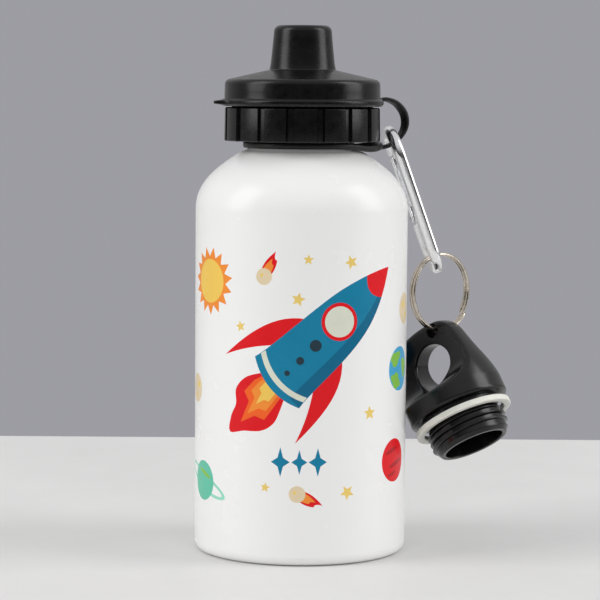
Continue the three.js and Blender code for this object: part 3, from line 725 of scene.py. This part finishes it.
def printed_wall():
    """The straight wall, cut along the edges of the print. Gives points, faces and each face's ink."""
    half = math.pi * BODY
    corners, edges = [], []

    def chain(points, closed):
        start = len(corners)
        corners.extend(Vector(p) for p in points)
        count = len(points)
        edges.extend((start + k, start + (k + 1) % count) for k in range(count if closed else count - 1))

    for k in range(SIDES + 1):
        along = -half + 2 * half * k / SIDES
        chain([(along, WALL_BOTTOM), (along, WALL_TOP)], False)
    chain([(-half, WALL_BOTTOM), (half, WALL_BOTTOM), (half, WALL_TOP), (-half, WALL_TOP)], True)
    for _, outline in layers:
        chain([tuple(p) for p in outline], True)
    flat, _, faces, *_ = delaunay_2d_cdt(corners, edges, [], 0, 1e-5)
    flat = np.array([tuple(p) for p in flat])
    faces = np.array([tuple(f) for f in faces])
    centres = flat[faces].mean(1)
    use = np.zeros(len(faces), int)
    names = ["white"] + list(INK)
    for name, outline in layers:
        use[outline_distance(centres, np.asarray(outline)) < 0] = names.index(name)
    angle = flat[:, 0] / BODY - math.pi / 2
    points = np.stack([BODY * np.cos(angle), BODY * np.sin(angle), flat[:, 1]], 1)
    return points, [tuple(f) for f in faces.tolist()], use


inner = BODY - WALL
below = rounded([(ALMOST_AXIS, 0.8, 0), (27.0, 0.8, 0.6), (28.0, 0.0, 0.9), (BODY - 3.5, 0.0, 0)], 4, False)
heel = bezier([(BODY - 3.5, 0), (BODY - 1.2, 0.1), (BODY, 1.3), (BODY, WALL_BOTTOM)], 10)
shoulder = bezier([(BODY, WALL_TOP), (BODY, 127), (29.5, 132.3), (20.9, 137.7)], 26)
flare = bezier([(20.9, 137.7), (18.2, 138.3), (18.0, 140.0)], 10)
rim = rounded([(18.0, 142.0, 0), (18.0, MOUTH, 0.9), (BORE, MOUTH, 0.9), (BORE, 137.6, 1.2),
               (19.5, 136.6, 2.0)], 5, False)
inside_shoulder = bezier([(19.5, 136.6), (28.8, 131.4), (inner, 126.6), (inner, WALL_TOP)], 20)
inside = rounded([(inner, WALL_TOP - 1, 0), (inner, 1.8, 3.0), (ALMOST_AXIS, 1.8, 0)], 6, False)
around = round_angles(SIDES, -math.pi / 2)

lower = np.vstack([below, heel])
upper = np.vstack([[(BODY, WALL_TOP)], shoulder, flare, rim, inside_shoulder, inside])


def open_lathe(path):
    """A profile turned about Z, open at both ends."""
    rings = [np.stack([path[:, 0] * math.cos(a), path[:, 0] * math.sin(a), path[:, 1]], 1) for a in around]
    return np.vstack(rings), grid_faces(SIDES, len(path), True, False)


wall_points, wall_faces, wall_use = printed_wall()
bottle_points, bottle_faces = together((wall_points, wall_faces), open_lathe(lower), open_lathe(upper))
bottle_use = np.concatenate([wall_use, np.zeros(len(bottle_faces) - len(wall_faces), int)])
bottle = piece("bottle_body", (bottle_points, bottle_faces), [WHITE] + list(INK.values()), "bottle",
               ["bottle_shell"], bottle_use)
normals = np.array([v.normal[:] for v in bottle.data.vertices])
spots = np.array([v.co[:] for v in bottle.data.vertices]) / MM
on_wall = np.hypot(spots[:, 0], spots[:, 1]) > BODY - 0.02
on_wall &= (spots[:, 2] > WALL_BOTTOM - 0.01) & (spots[:, 2] < WALL_TOP + 0.01)
normals[on_wall] = unit(spots[on_wall] * (1, 1, 0))
bottle.data.normals_split_custom_set_from_vertices(normals.tolist())

MALE_FOOT = 139.5  # the neck's ridge lies half a pitch away from the lid's
piece("neck_thread", helix_ridge(BORE, 13.65, MALE_FOOT - PITCH / 2, 3.4), WHITE, "bottle")


# ---------------- drinking lid

COLLAR = 26.8
COLLAR_TOP = 152.8
GROOVES = 16
GROOVE_WIDTH = 2.3
GROOVE_DEPTH = 1.1
GROOVE_EDGE = 0.22  # half the width of a groove's sloping side
GROOVE_START = degrees(-90 - 8.9)


def collar_angles():
    """More points at each groove's edges and a few between the grooves."""
    angles = []
    half, edge = GROOVE_WIDTH / 2 / COLLAR, GROOVE_EDGE / COLLAR
    step = TAU / GROOVES
    for k in range(GROOVES):
        centre = GROOVE_START + k * step
        angles += [centre - half - edge, centre - half, centre - half + edge, centre,
                   centre + half - edge, centre + half, centre + half + edge]
        start, end = centre + half + edge, centre + step - half - edge
        angles += [start + (end - start) * j / 8 for j in range(1, 8)]
    return angles


def grooved(radius, height, angle):
    """The collar's outside is cut in at each groove."""
    step = TAU / GROOVES
    off = abs((angle - GROOVE_START + step / 2) % step - step / 2) * COLLAR
    share = (GROOVE_WIDTH / 2 + GROOVE_EDGE - off) / (2 * GROOVE_EDGE)
    depth = GROOVE_DEPTH * float(np.clip(share, 0, 1))
    outer = (radius > COLLAR - 2.0) & (height < COLLAR_TOP + 0.2)
    radius[outer] -= depth
    return radius, height


lid_path = rounded([
    (10.6, 138.6, 0.4), (MALE_CORE, 138.6, 0.6), (MALE_CORE, 150.2, 0.3), (24.4, 150.2, 0.6),
    (24.4, 141.3, 0.3), (COLLAR, 141.3, 0.45), (COLLAR - 0.1, 147.0, 0), (COLLAR - 0.2, COLLAR_TOP, 0.6),
    (24.2, COLLAR_TOP, 0.3),
    (24.2, 155.2, 0.7), (10.2, 157.6, 0.6), (5.1, 157.6, 0.3), (5.1, 163.5, 0.1), (4.4, 163.5, 0.1),
    (4.4, 164.9, 0.1), (5.1, 164.9, 0.1), (5.1, 165.6, 0.3), (1.8, 165.6, 0.3), (1.8, 169.6, 0.5),
    (ALMOST_AXIS, 169.6, 0), (ALMOST_AXIS, 163.6, 0), (3.7, 163.0, 0.4), (3.7, 154.2, 0.4),
    (10.6, 152.4, 0.6)], 5)
lid_shape = lathe(lid_path, collar_angles(), grooved)
piece("lid_body", lid_shape, BLACK, "lid", ["sport_lid"], sharp=38)
lid_thread = helix_ridge(MALE_CORE, MALE_TIP, MALE_FOOT, MALE_TURNS)
piece("lid_thread", lid_thread, BLACK, "lid")

spout_path = np.vstack([
    rounded([(5.9, 161.0, 0), (5.9, 158.0, 0.3), (7.6, 158.0, 0.4), (7.6, 159.6, 0)], 4, False),
    bezier([(7.6, 159.6), (6.0, 164.5), (7.6, 167.3)], 12),
    rounded([(7.6, 167.6, 0), (7.6, 170.0, 1.5), (2.15, 170.0, 0.5), (2.15, 168.0, 0.2), (4.9, 168.0, 0.2),
             (5.9, 167.0, 0)], 6, False)])
spout_shape = lathe(spout_path, round_angles(96))
piece("spout_body", spout_shape, BLACK, "spout", ["drinking_spout"], sharp=45)

SEAL_WIRE = 0.42
seal_path = oval(SEAL_WIRE, SEAL_WIRE, 2.0, 24) + (5.15, 164.2)
piece("spout_o_ring", lathe(seal_path, round_angles(72)), SEAL, "lid", ["spout_seal"])

GASKET_INNER, GASKET_OUTER, GASKET_HEIGHT = 14.9, 17.6, 2.1


def gasket(bottom):
    """A seal. The lid's and the loop cap's have the same size."""
    top = bottom + GASKET_HEIGHT
    path = rounded([(GASKET_INNER, bottom, 0.4), (GASKET_OUTER, bottom, 0.5),
                    (GASKET_OUTER, top, 0.5), (GASKET_INNER, top, 0.4)], 5)
    return lathe(path, round_angles(128))


piece("mouth_gasket", gasket(lowest("lid_gasket")[2]), SILICONE, "lid_seal", ["lid_gasket"])


# ---------------- dust cover, strap and neck ring

STRAP_SIDE = degrees(20)
TAB_SIDE = STRAP_SIDE + math.pi
TOP = highest("dust_cover")[2]
SKIN = 1.4
LIP = (153.1, 156.2)  # from below to above it
LIP_ROOT = 26.9
TAB = 4.2
TAB_HEIGHT = 154.6


def tabbed(radius, height, angle):
    """The lip runs out to a pointed tab opposite the strap."""
    off = (angle - STRAP_SIDE) % TAU - math.pi
    lip = (height > LIP[0]) & (height < LIP[1]) & (radius > LIP_ROOT)
    bump = math.exp(-abs(off / 0.085) ** 1.5)
    radius[lip] += TAB * bump * np.clip((radius[lip] - LIP_ROOT) / 0.7, 0, 1)
    height[lip] += (TAB_HEIGHT - height[lip]) * 0.35 * bump
    return radius, height


tab_angles = [TAB_SIDE + degrees(v) for v in np.linspace(-14, 14, 41)]
cover_angles = sorted(set(round_angles(160) + tab_angles))
cover_path = rounded([
    (25.4, 153.2, 0.3), (27.2, 153.2, 0.6), (27.85, 153.9, 0.7), (27.85, 155.0, 0.7), (27.2, 155.75, 0.45),
    (26.75, 155.75, 0.12), (26.75, 158.0, 0), (26.6, 162.1, 1.9), (11.4, 165.6, 0.55), (11.0, 167.6, 0),
    (10.15, 176.0, 0), (9.75, TOP, 2.2),
    (ALMOST_AXIS, TOP, 0), (ALMOST_AXIS, TOP - SKIN, 0), (8.4, TOP - SKIN, 1.0), (10.0, 165.0, 0.8),
    (25.3, 161.2, 0.8)], 7)
cover_shape = lathe(cover_path, cover_angles, tabbed)
piece("cover_body", cover_shape, BLACK, "cover", ["dust_cover"], sharp=50)


def on_strap_side(flat, across=0.0):
    """(radius, height) points in the strap's upright plane."""
    flat = np.asarray(flat, float)
    outward = np.array([math.cos(STRAP_SIDE), math.sin(STRAP_SIDE), 0])
    sideways = np.array([-math.sin(STRAP_SIDE), math.cos(STRAP_SIDE), 0])
    return flat[:, :1] * outward + flat[:, 1:] * (0, 0, 1) + np.reshape(across, (-1, 1)) * sideways


strap_line = spline([(27.0, 154.7), (28.3, 155.1), (30.6, 155.7), (34.4, 154.4), (37.2, 151.4), (38.1, 148.0),
                     (37.4, 144.8), (35.2, 141.8), (32.4, 139.8), (29.8, 139.1), (28.2, 138.9)], 64)
STRAP_SECTION = oval(0.72, 1.75, 3.2, 24)
STRAP_TWIST = degrees(26)  # the band turns over a little on its way round
strap_rings = []
for k, (at, heading) in enumerate(zip(strap_line, unit(np.gradient(strap_line, axis=0)))):
    t = k / (len(strap_line) - 1)
    twist = STRAP_TWIST * math.sin(math.pi * min(1, t * 1.15)) ** 2
    section = turned_by(STRAP_SECTION, twist)
    out = np.array([-heading[1], heading[0]])
    strap_rings.append(on_strap_side(at + section[:, :1] * out, section[:, 1]))
strap = piece("strap_band", tube(strap_rings), BAND, None, ["cover_strap"], sharp=60)
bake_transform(strap)

RING_RADIUS, RING_HEIGHT = 19.6, 140.05
RING_SECTION = oval(0.95, 1.12, 3.0, 20)
ring_rings = []
for angle in round_angles(160):
    off = (angle - STRAP_SIDE + math.pi) % TAU - math.pi
    away = abs(math.degrees(off))
    pull = 0.2 * math.cos(off) + 8.1 * math.exp(-(away / 38) ** 2)  # out towards the strap
    droop = 1.2 * math.exp(-((away - 30) / 18) ** 2)
    radius = RING_RADIUS + pull + RING_SECTION[:, 0]
    height = RING_HEIGHT - droop + RING_SECTION[:, 1]
    ring_rings.append(np.stack([radius * math.cos(angle), radius * math.sin(angle), height], 1))
piece("neck_band", tube(ring_rings, True), BAND, "tether", ["neck_ring"], sharp=60)


# ---------------- carabiner

HOOK = joint_place("carabiner_swing")
CLIP_X = -joint_axis("carabiner_swing")
CLIP_Y = -joint_axis("gate_open")
CLIP_Z = np.cross(CLIP_X, CLIP_Y)
CLIP = np.array([CLIP_X, CLIP_Y, CLIP_Z])

TOP_ARC, BOTTOM_ARC, CLIP_LENGTH = 8.7, 7.2, 50.2
BAR, PLATE = 4.2, 4.0
TOP_CENTRE, BOTTOM_CENTRE = -TOP_ARC, -(CLIP_LENGTH - BOTTOM_ARC)
SLANT = math.asin((TOP_ARC - BOTTOM_ARC) / (TOP_CENTRE - BOTTOM_CENTRE))
TONGUE = 0.6  # half the thickness of the two tongues that go into the gate
TONGUE_FILLET = 0.15
NOSE_PIN = 20.9  # above the pivot, along the gate
OPENING = (-2.4, 23.2)  # from the pivot, along the gate
DIMPLE = (-4.9, 0.2, BOTTOM_CENTRE - 8.1)
PIVOT_DOWN = 32.0
PIVOT_X = TOP_ARC - (PIVOT_DOWN - TOP_ARC) * math.tan(SLANT)


def arc(centre, radius, start, end, count):
    angle = np.linspace(start, end, count)
    return np.array(centre) + radius * np.stack([np.cos(angle), np.sin(angle)], 1)


pear = np.vstack([arc((0, TOP_CENTRE), TOP_ARC, -SLANT, math.pi + SLANT, 40),
                  arc((0, BOTTOM_CENTRE), BOTTOM_ARC, math.pi + SLANT, TAU - SLANT, 34)])
HINGE, NOTCH = 1.9, 0.95
hinge_tongue = np.vstack([[(HINGE, -6)], arc((0, 0), HINGE, 0, math.pi, 17), [(-HINGE, -6)]])
nose_tongue = np.vstack([
    [(-1.5, 19.2), (1.7, 19.2), (1.7, 26), (-1.5, 26), (-1.5, NOSE_PIN + NOTCH), (0, NOSE_PIN + NOTCH)],
    arc((0, NOSE_PIN), NOTCH, math.pi / 2, -math.pi / 2, 12), [(-1.5, NOSE_PIN - NOTCH)]])


def in_gate(p):
    """From the carabiner's frame to the gate's, whose Z runs up the slanting side."""
    x, z = p[:, 0] - PIVOT_X, p[:, 2] + PIVOT_DOWN
    c, s = math.cos(SLANT), math.sin(SLANT)
    return np.stack([x * c - z * s, p[:, 1], x * s + z * c], 1)


def clip_distance(p):
    """To the carabiner's frame: the bar, less the gate's opening and a dimple, and the two tongues."""
    flat = p[:, (0, 2)]
    bar = slab(np.abs(outline_distance(flat, pear)) - BAR / 2, p[:, 1], PLATE / 2, 1.8)
    g = in_gate(p)
    bar = both(bar, -box_distance(g, (-4, -4, OPENING[0]), (4, 4, OPENING[1])), 0.5)
    dimple = np.linalg.norm(p - DIMPLE, axis=1) - 0.8
    bar = both(bar, -dimple, 0.3)
    side = g[:, (0, 2)]
    hinge = slab(outline_distance(side, hinge_tongue), g[:, 1], TONGUE, TONGUE_FILLET)
    hinge = both(hinge, -(np.hypot(g[:, 0], g[:, 2]) - 1.0), TONGUE_FILLET)
    nose = slab(outline_distance(side, nose_tongue), g[:, 1], TONGUE, TONGUE_FILLET)
    return either(either(bar, hinge, 0.25), nose, 0.25)


def in_aluminium(name, distance, low, high, step, place, axes, body, node):
    """A piece that is the skin of a distance, in a frame of its own."""
    points, faces = skin_of(distance, low, high, step)
    shape = placed(points, place, axes), faces
    made = piece(name, shape, ALUMINIUM, body, [node], recalc=False)
    shade_by(made, distance, place, axes, len(points))


half_width = TOP_ARC + BAR / 2
in_aluminium("clip_frame", clip_distance, (-half_width, -PLATE / 2, -CLIP_LENGTH - BAR / 2),
             (half_width, PLATE / 2, BAR / 2), 0.3, HOOK, CLIP, "carabiner", "carabiner_frame")

GATE_AT = joint_place("gate_open")
c, s = math.cos(SLANT), math.sin(SLANT)
GATE = np.array([CLIP_X * c - CLIP_Z * s, CLIP_Y, CLIP_X * s + CLIP_Z * c])
GATE_LENGTH = 22.6
GATE_SLOT = 0.9  # half its width
gate_side = np.vstack([[(1.7, GATE_LENGTH)], [(-1.7, GATE_LENGTH)], arc((0, 0), 1.7, math.pi, TAU, 17)])


def gate_distance(p):
    """To the gate: a bar with a slot at each end, the spring's bore and two holes for pins."""
    body = slab(outline_distance(p[:, (0, 2)], gate_side), p[:, 1], 1.8, 0.65)
    hinge_slot = box_distance(p, (-4, -GATE_SLOT, -4), (4, GATE_SLOT, 4.2))
    nose_slot = box_distance(p, (-4, -GATE_SLOT, 18.4), (4, GATE_SLOT, 26))
    body = both(body, -np.minimum(hinge_slot, nose_slot), 0.25)
    bore = np.maximum(np.hypot(p[:, 0], p[:, 1]) - 1.15, p[:, 2] - 15)
    pivot_hole = np.hypot(p[:, 0], p[:, 2]) - 1.05
    nose_hole = np.hypot(p[:, 0], p[:, 2] - NOSE_PIN) - 0.8
    for hole in (bore, pivot_hole, nose_hole):
        body = both(body, -hole, 0.2)
    return body


in_aluminium("gate_body", gate_distance, (-1.8, -1.8, -1.8), (1.8, 1.8, 22.7), 0.2, GATE_AT, GATE,
             "gate", "carabiner_gate")


def in_steel(name, shape, up, body, node, sharp=None):
    """A steel piece, at a height on the gate's own Z."""
    points = placed(shape[0] + (0, 0, up), GATE_AT, GATE)
    piece(name, (points, shape[1]), STEEL, body, [node], sharp=sharp)


def laid_across(shape):
    """A pin turned from Z to the gate's Y."""
    points, faces = shape
    return points @ np.array([[1, 0, 0], [0, 0, -1], [0, 1, 0]]), faces


in_steel("pivot_rivet", laid_across(pin(0.8, 4.2)), 0.0, "carabiner", "gate_pivot_pin", 50)
in_steel("nose_rivet", laid_across(pin(0.55, 3.6)), NOSE_PIN, "gate", "gate_nose_pin", 50)
in_steel("plunger", pin(0.6, 4.0, 0.3), 4.25, "gate", "gate_plunger", 50)


def wire_coil(radius, wire_along, wire_across, pitch, turns, steps, sides, start=0.0):
    """A wound wire with rounded ends. Sections are (radial, axial)."""
    rings = []
    total = round(turns * steps)
    circle = np.arange(sides) * TAU / sides
    for k in range(total + 1):
        angle = (k / total - 0.5) * turns * TAU
        shrink = math.sqrt(max(1 - max(0, 1 - min(k, total - k) / 3) ** 2, 0.03))
        r = radius + wire_across * shrink * np.cos(circle)
        z = pitch * angle / TAU + wire_along * shrink * np.sin(circle)
        rings.append(np.stack([r * math.cos(angle + start), r * math.sin(angle + start), z], 1))
    return tube(rings)


in_steel("gate_coil", wire_coil(0.75, 0.16, 0.16, 1.3, 6, 32, 10), 10.7, "gate", "gate_spring")


# ---------------- split ring

TANGENT = -joint_axis("cap_swing")
RING_AXIS = -np.cross((0, 0, 1), TANGENT)
RING = np.array([TANGENT, np.cross(RING_AXIS, TANGENT), RING_AXIS])
WIRE_END = degrees(-35)
points, faces = wire_coil(13.3, 0.64, 0.625, 1.35, 2, 120, 16, WIRE_END)
points = placed(points, middle("split_ring"), RING)
piece("key_ring", (points, faces), NICKEL, "ring", ["split_ring"])


# ---------------- loop cap

def axis_turn(axis, angle):
    """The matrix that turns about axis 0, 1 or 2."""
    one, two = (axis + 1) % 3, (axis + 2) % 3
    matrix = np.eye(3)
    matrix[one, one] = matrix[two, two] = math.cos(angle)
    matrix[two, one] = math.sin(angle)
    matrix[one, two] = -math.sin(angle)
    return matrix


FACING, TIPPED, FORWARD = degrees(-38), degrees(-32.5), degrees(-4.5)  # the way it hangs
CAP = (axis_turn(2, FACING) @ axis_turn(1, TIPPED) @ axis_turn(0, FORWARD)).T
FLANGE = 11.2
GASKET_SLACK = 0.3
GASKET_AT = FLANGE - GASKET_SLACK - GASKET_HEIGHT / 2
CAP_AT = middle("loop_cap_gasket") - CAP[2] * GASKET_AT
EYE, EYE_RADIUS, EYE_TIP = 30.6, 7.9, 9.8
CAP_TOP = 45.6
HOLE_IN_CAP = np.array([6.0, 0.0, 41.8])
HOLE_RADIUS = 2.35
WIDEST, WIDEST_FROM, WIDEST_TO = 18.0, 13.0, 19.0

crown = np.vstack([
    rounded([(0.0, 12.2, 0), (13.9, 12.2, 0), (13.9, WIDEST_FROM, 0.2), (WIDEST, WIDEST_FROM, 1.2),
             (WIDEST, WIDEST_TO, 0)], 6, False),
    bezier([(WIDEST, WIDEST_TO), (17.5, 24.0), (16.3, 28.4)], 8),
    [(13.4, 38.4)], bezier([(13.4, 38.4), (11.8, CAP_TOP - 1.8), (7.5, CAP_TOP - 0.7)], 8),
    bezier([(7.5, CAP_TOP - 0.7), (3.8, CAP_TOP), (0, CAP_TOP)], 5)])
crown = np.vstack([crown, (crown * (-1, 1))[::-1][1:-1]])
sweep_half = np.vstack([[(19.0, 10.0), (19.0, 19.4)],
                        bezier([(19.0, 19.4), (9.0, 21.0), (5.4, 24.5), (4.1, 33.6)], 18),
                        [(3.9, CAP_TOP - 2.0), (3.4, CAP_TOP + 3)]])
sweep = np.vstack([sweep_half, (sweep_half * (-1, 1))[::-1]])
eye_side = degrees(30)
eye_corner = np.array([EYE_RADIUS * math.cos(eye_side), EYE - EYE_RADIUS / 2])
eye_throat = np.array([3.2, EYE - 8.6])
eye_tip = (0, EYE - EYE_TIP)
eye = np.vstack([arc((0, EYE), EYE_RADIUS, -eye_side, math.pi + eye_side, 40),
                 bezier([eye_corner * (-1, 1), eye_throat * (-1, 1), eye_tip], 10),
                 bezier([eye_tip, eye_throat, eye_corner], 10)[:-1]])
wire_way = CAP @ TANGENT


def cap_distance(p):
    """To the cap's crown: a turned shape, narrowed to a loop, less its eye and the ring's hole."""
    radius = np.hypot(p[:, 0], p[:, 1])
    body = outline_distance(np.stack([radius, p[:, 2]], 1), crown)
    body = both(body, outline_distance(p[:, (1, 2)], sweep), 1.6)
    body = both(body, -outline_distance(p[:, (0, 2)], eye), 1.3)
    away = p - HOLE_IN_CAP
    off = away - (away @ wire_way)[:, None] * wire_way
    return both(body, -(np.linalg.norm(off, axis=1) - HOLE_RADIUS), 0.6)


points, faces = skin_of(cap_distance, (-18.2, -18.2, 12.2), (18.2, 18.2, CAP_TOP + 0.3), 0.42)
plug_path = rounded([(10.6, 0.0, 0.4), (12.2, 0.0, 0.4), (MALE_CORE, 1.4, 0.6), (MALE_CORE, FLANGE, 0.2),
                     (13.9, FLANGE, 0.3), (13.9, 14.0, 0), (ALMOST_AXIS, 14.0, 0), (ALMOST_AXIS, 12.5, 0),
                     (10.6, 12.5, 1.2)], 5)
cap_thread = helix_ridge(MALE_CORE, MALE_TIP, 1.7, MALE_TURNS)
cap_shape = together((points, faces), lathe(plug_path, round_angles(128)), cap_thread)
cap_body = piece("cap_body", (placed(cap_shape[0], CAP_AT, CAP), cap_shape[1]), GLOSS, "spare_cap",
                 ["loop_cap"], sharp=48)
shade_by(cap_body, cap_distance, CAP_AT, CAP, len(points))
points, faces = gasket(GASKET_AT - GASKET_HEIGHT / 2)
points = placed(points, CAP_AT, CAP)
piece("cap_gasket", (points, faces), SILICONE, "spare_cap", ["loop_cap_gasket"])


# ---------------- camera, floor and light

CAMERA_LENS = 148.14
CAMERA_AT = (0.0, -0.850, 0.1617)
camera_data = bpy.data.cameras.new("camera")
camera_data.lens = CAMERA_LENS
camera_data.sensor_width = 36.0
camera_data.clip_start, camera_data.clip_end = 0.01, 50
camera = bpy.data.objects.new("camera", camera_data)
bpy.context.scene.collection.objects.link(camera)
pitch, yaw, roll = degrees(-5.06), degrees(-0.025), degrees(0.40)
forward = Vector((math.sin(yaw) * math.cos(pitch), math.cos(yaw) * math.cos(pitch), math.sin(pitch)))
level = Vector((math.cos(yaw), -math.sin(yaw), 0))
upward = level.cross(forward)
right = level * math.cos(roll) + upward * math.sin(roll)
top = upward * math.cos(roll) - level * math.sin(roll)
camera.matrix_world = Matrix((right, top, -forward)).transposed().to_4x4()
camera.location = CAMERA_AT
bpy.context.scene.camera = camera

floor_finish = Finish("floor", (0.74, 0.736, 0.728), specular=0.3)
floor_finish.tint(60.0, (0.71, 0.706, 0.698)).rough(20.0, 0.45, 0.6).relief(4.0, 0.05, 0.2)
FLOOR_SIDE, FLOOR_FRONT, FLOOR_BACK = 0.80, -0.90, 0.264
floor_corners = [(-FLOOR_SIDE, FLOOR_FRONT, 0), (FLOOR_SIDE, FLOOR_FRONT, 0),
                 (FLOOR_SIDE, FLOOR_BACK, 0), (-FLOOR_SIDE, FLOOR_BACK, 0)]
floor_mesh = bpy.data.meshes.new("floor")
floor_mesh.from_pydata(floor_corners, [], [(0, 1, 2, 3)])
floor_mesh.materials.append(floor_finish.material)
floor = bpy.data.objects.new("floor", floor_mesh)
bpy.context.scene.collection.objects.link(floor)


def softbox(name, place, target, width, height, power, mirrored_in_gloss=True):
    light = bpy.data.lights.new(name, "AREA")
    light.shape = "RECTANGLE"
    light.size, light.size_y, light.energy = width, height, power
    obj = bpy.data.objects.new(name, light)
    bpy.context.scene.collection.objects.link(obj)
    obj.visible_glossy = mirrored_in_gloss
    obj.location = place
    obj.rotation_euler = (Vector(target) - Vector(place)).to_track_quat("-Z", "Y").to_euler()


LAMP_AWAY, LAMP_UP = 1.6, Vector((0, 0, 0.96))
for side, turn in ((-1, 72), (1, 82)):
    away = Vector((side * math.sin(degrees(turn)), -math.cos(degrees(turn)), 0)) * LAMP_AWAY
    softbox("side_%d" % side, away + LAMP_UP, (0, 0, 0.30), 0.88, 1.70, 16.0)
softbox("fill", (0.0, -1.05, 0.30), (0, 0, 0.09), 1.3, 0.8, 2.9, False)

# The backdrop is plain grey. The room that the surfaces mirror is bright overhead and dark behind the camera.
BACKDROP = (0.335, 0.335, 0.365, 1)
OVERHEAD = (0.68, 0.68, 0.69, 1)
world = bpy.data.worlds.new("world")
world.use_nodes = True
sky, sky_links = world.node_tree.nodes, world.node_tree.links
seen = sky["Background"]
seen.inputs["Color"].default_value = BACKDROP
room = sky.new("ShaderNodeBackground")
direction = sky.new("ShaderNodeSeparateXYZ")
sky_links.new(sky.new("ShaderNodeTexCoord").outputs["Generated"], direction.inputs["Vector"])


def along(axis, *numbers):
    return map_range(sky, sky_links, direction.outputs[axis], *numbers)


blend_up = sky.new("ShaderNodeMix")
blend_up.data_type = "RGBA"
sky_links.new(along("Z", 0.12, 0.62, 0, 1), blend_up.inputs["Factor"])
sky_links.new(along("Y", -0.6, 0.5, 0.03, 0.40), blend_up.inputs["A"])
blend_up.inputs["B"].default_value = OVERHEAD
sky_links.new(blend_up.outputs["Result"], room.inputs["Color"])
choose = sky.new("ShaderNodeMixShader")
sky_links.new(sky.new("ShaderNodeLightPath").outputs["Is Camera Ray"], choose.inputs[0])
sky_links.new(room.outputs["Background"], choose.inputs[1])
sky_links.new(seen.outputs["Background"], choose.inputs[2])
sky_links.new(choose.outputs["Shader"], sky["World Output"].inputs["Surface"])
bpy.context.scene.world = world
bpy.context.scene.view_settings.view_transform = "Standard"
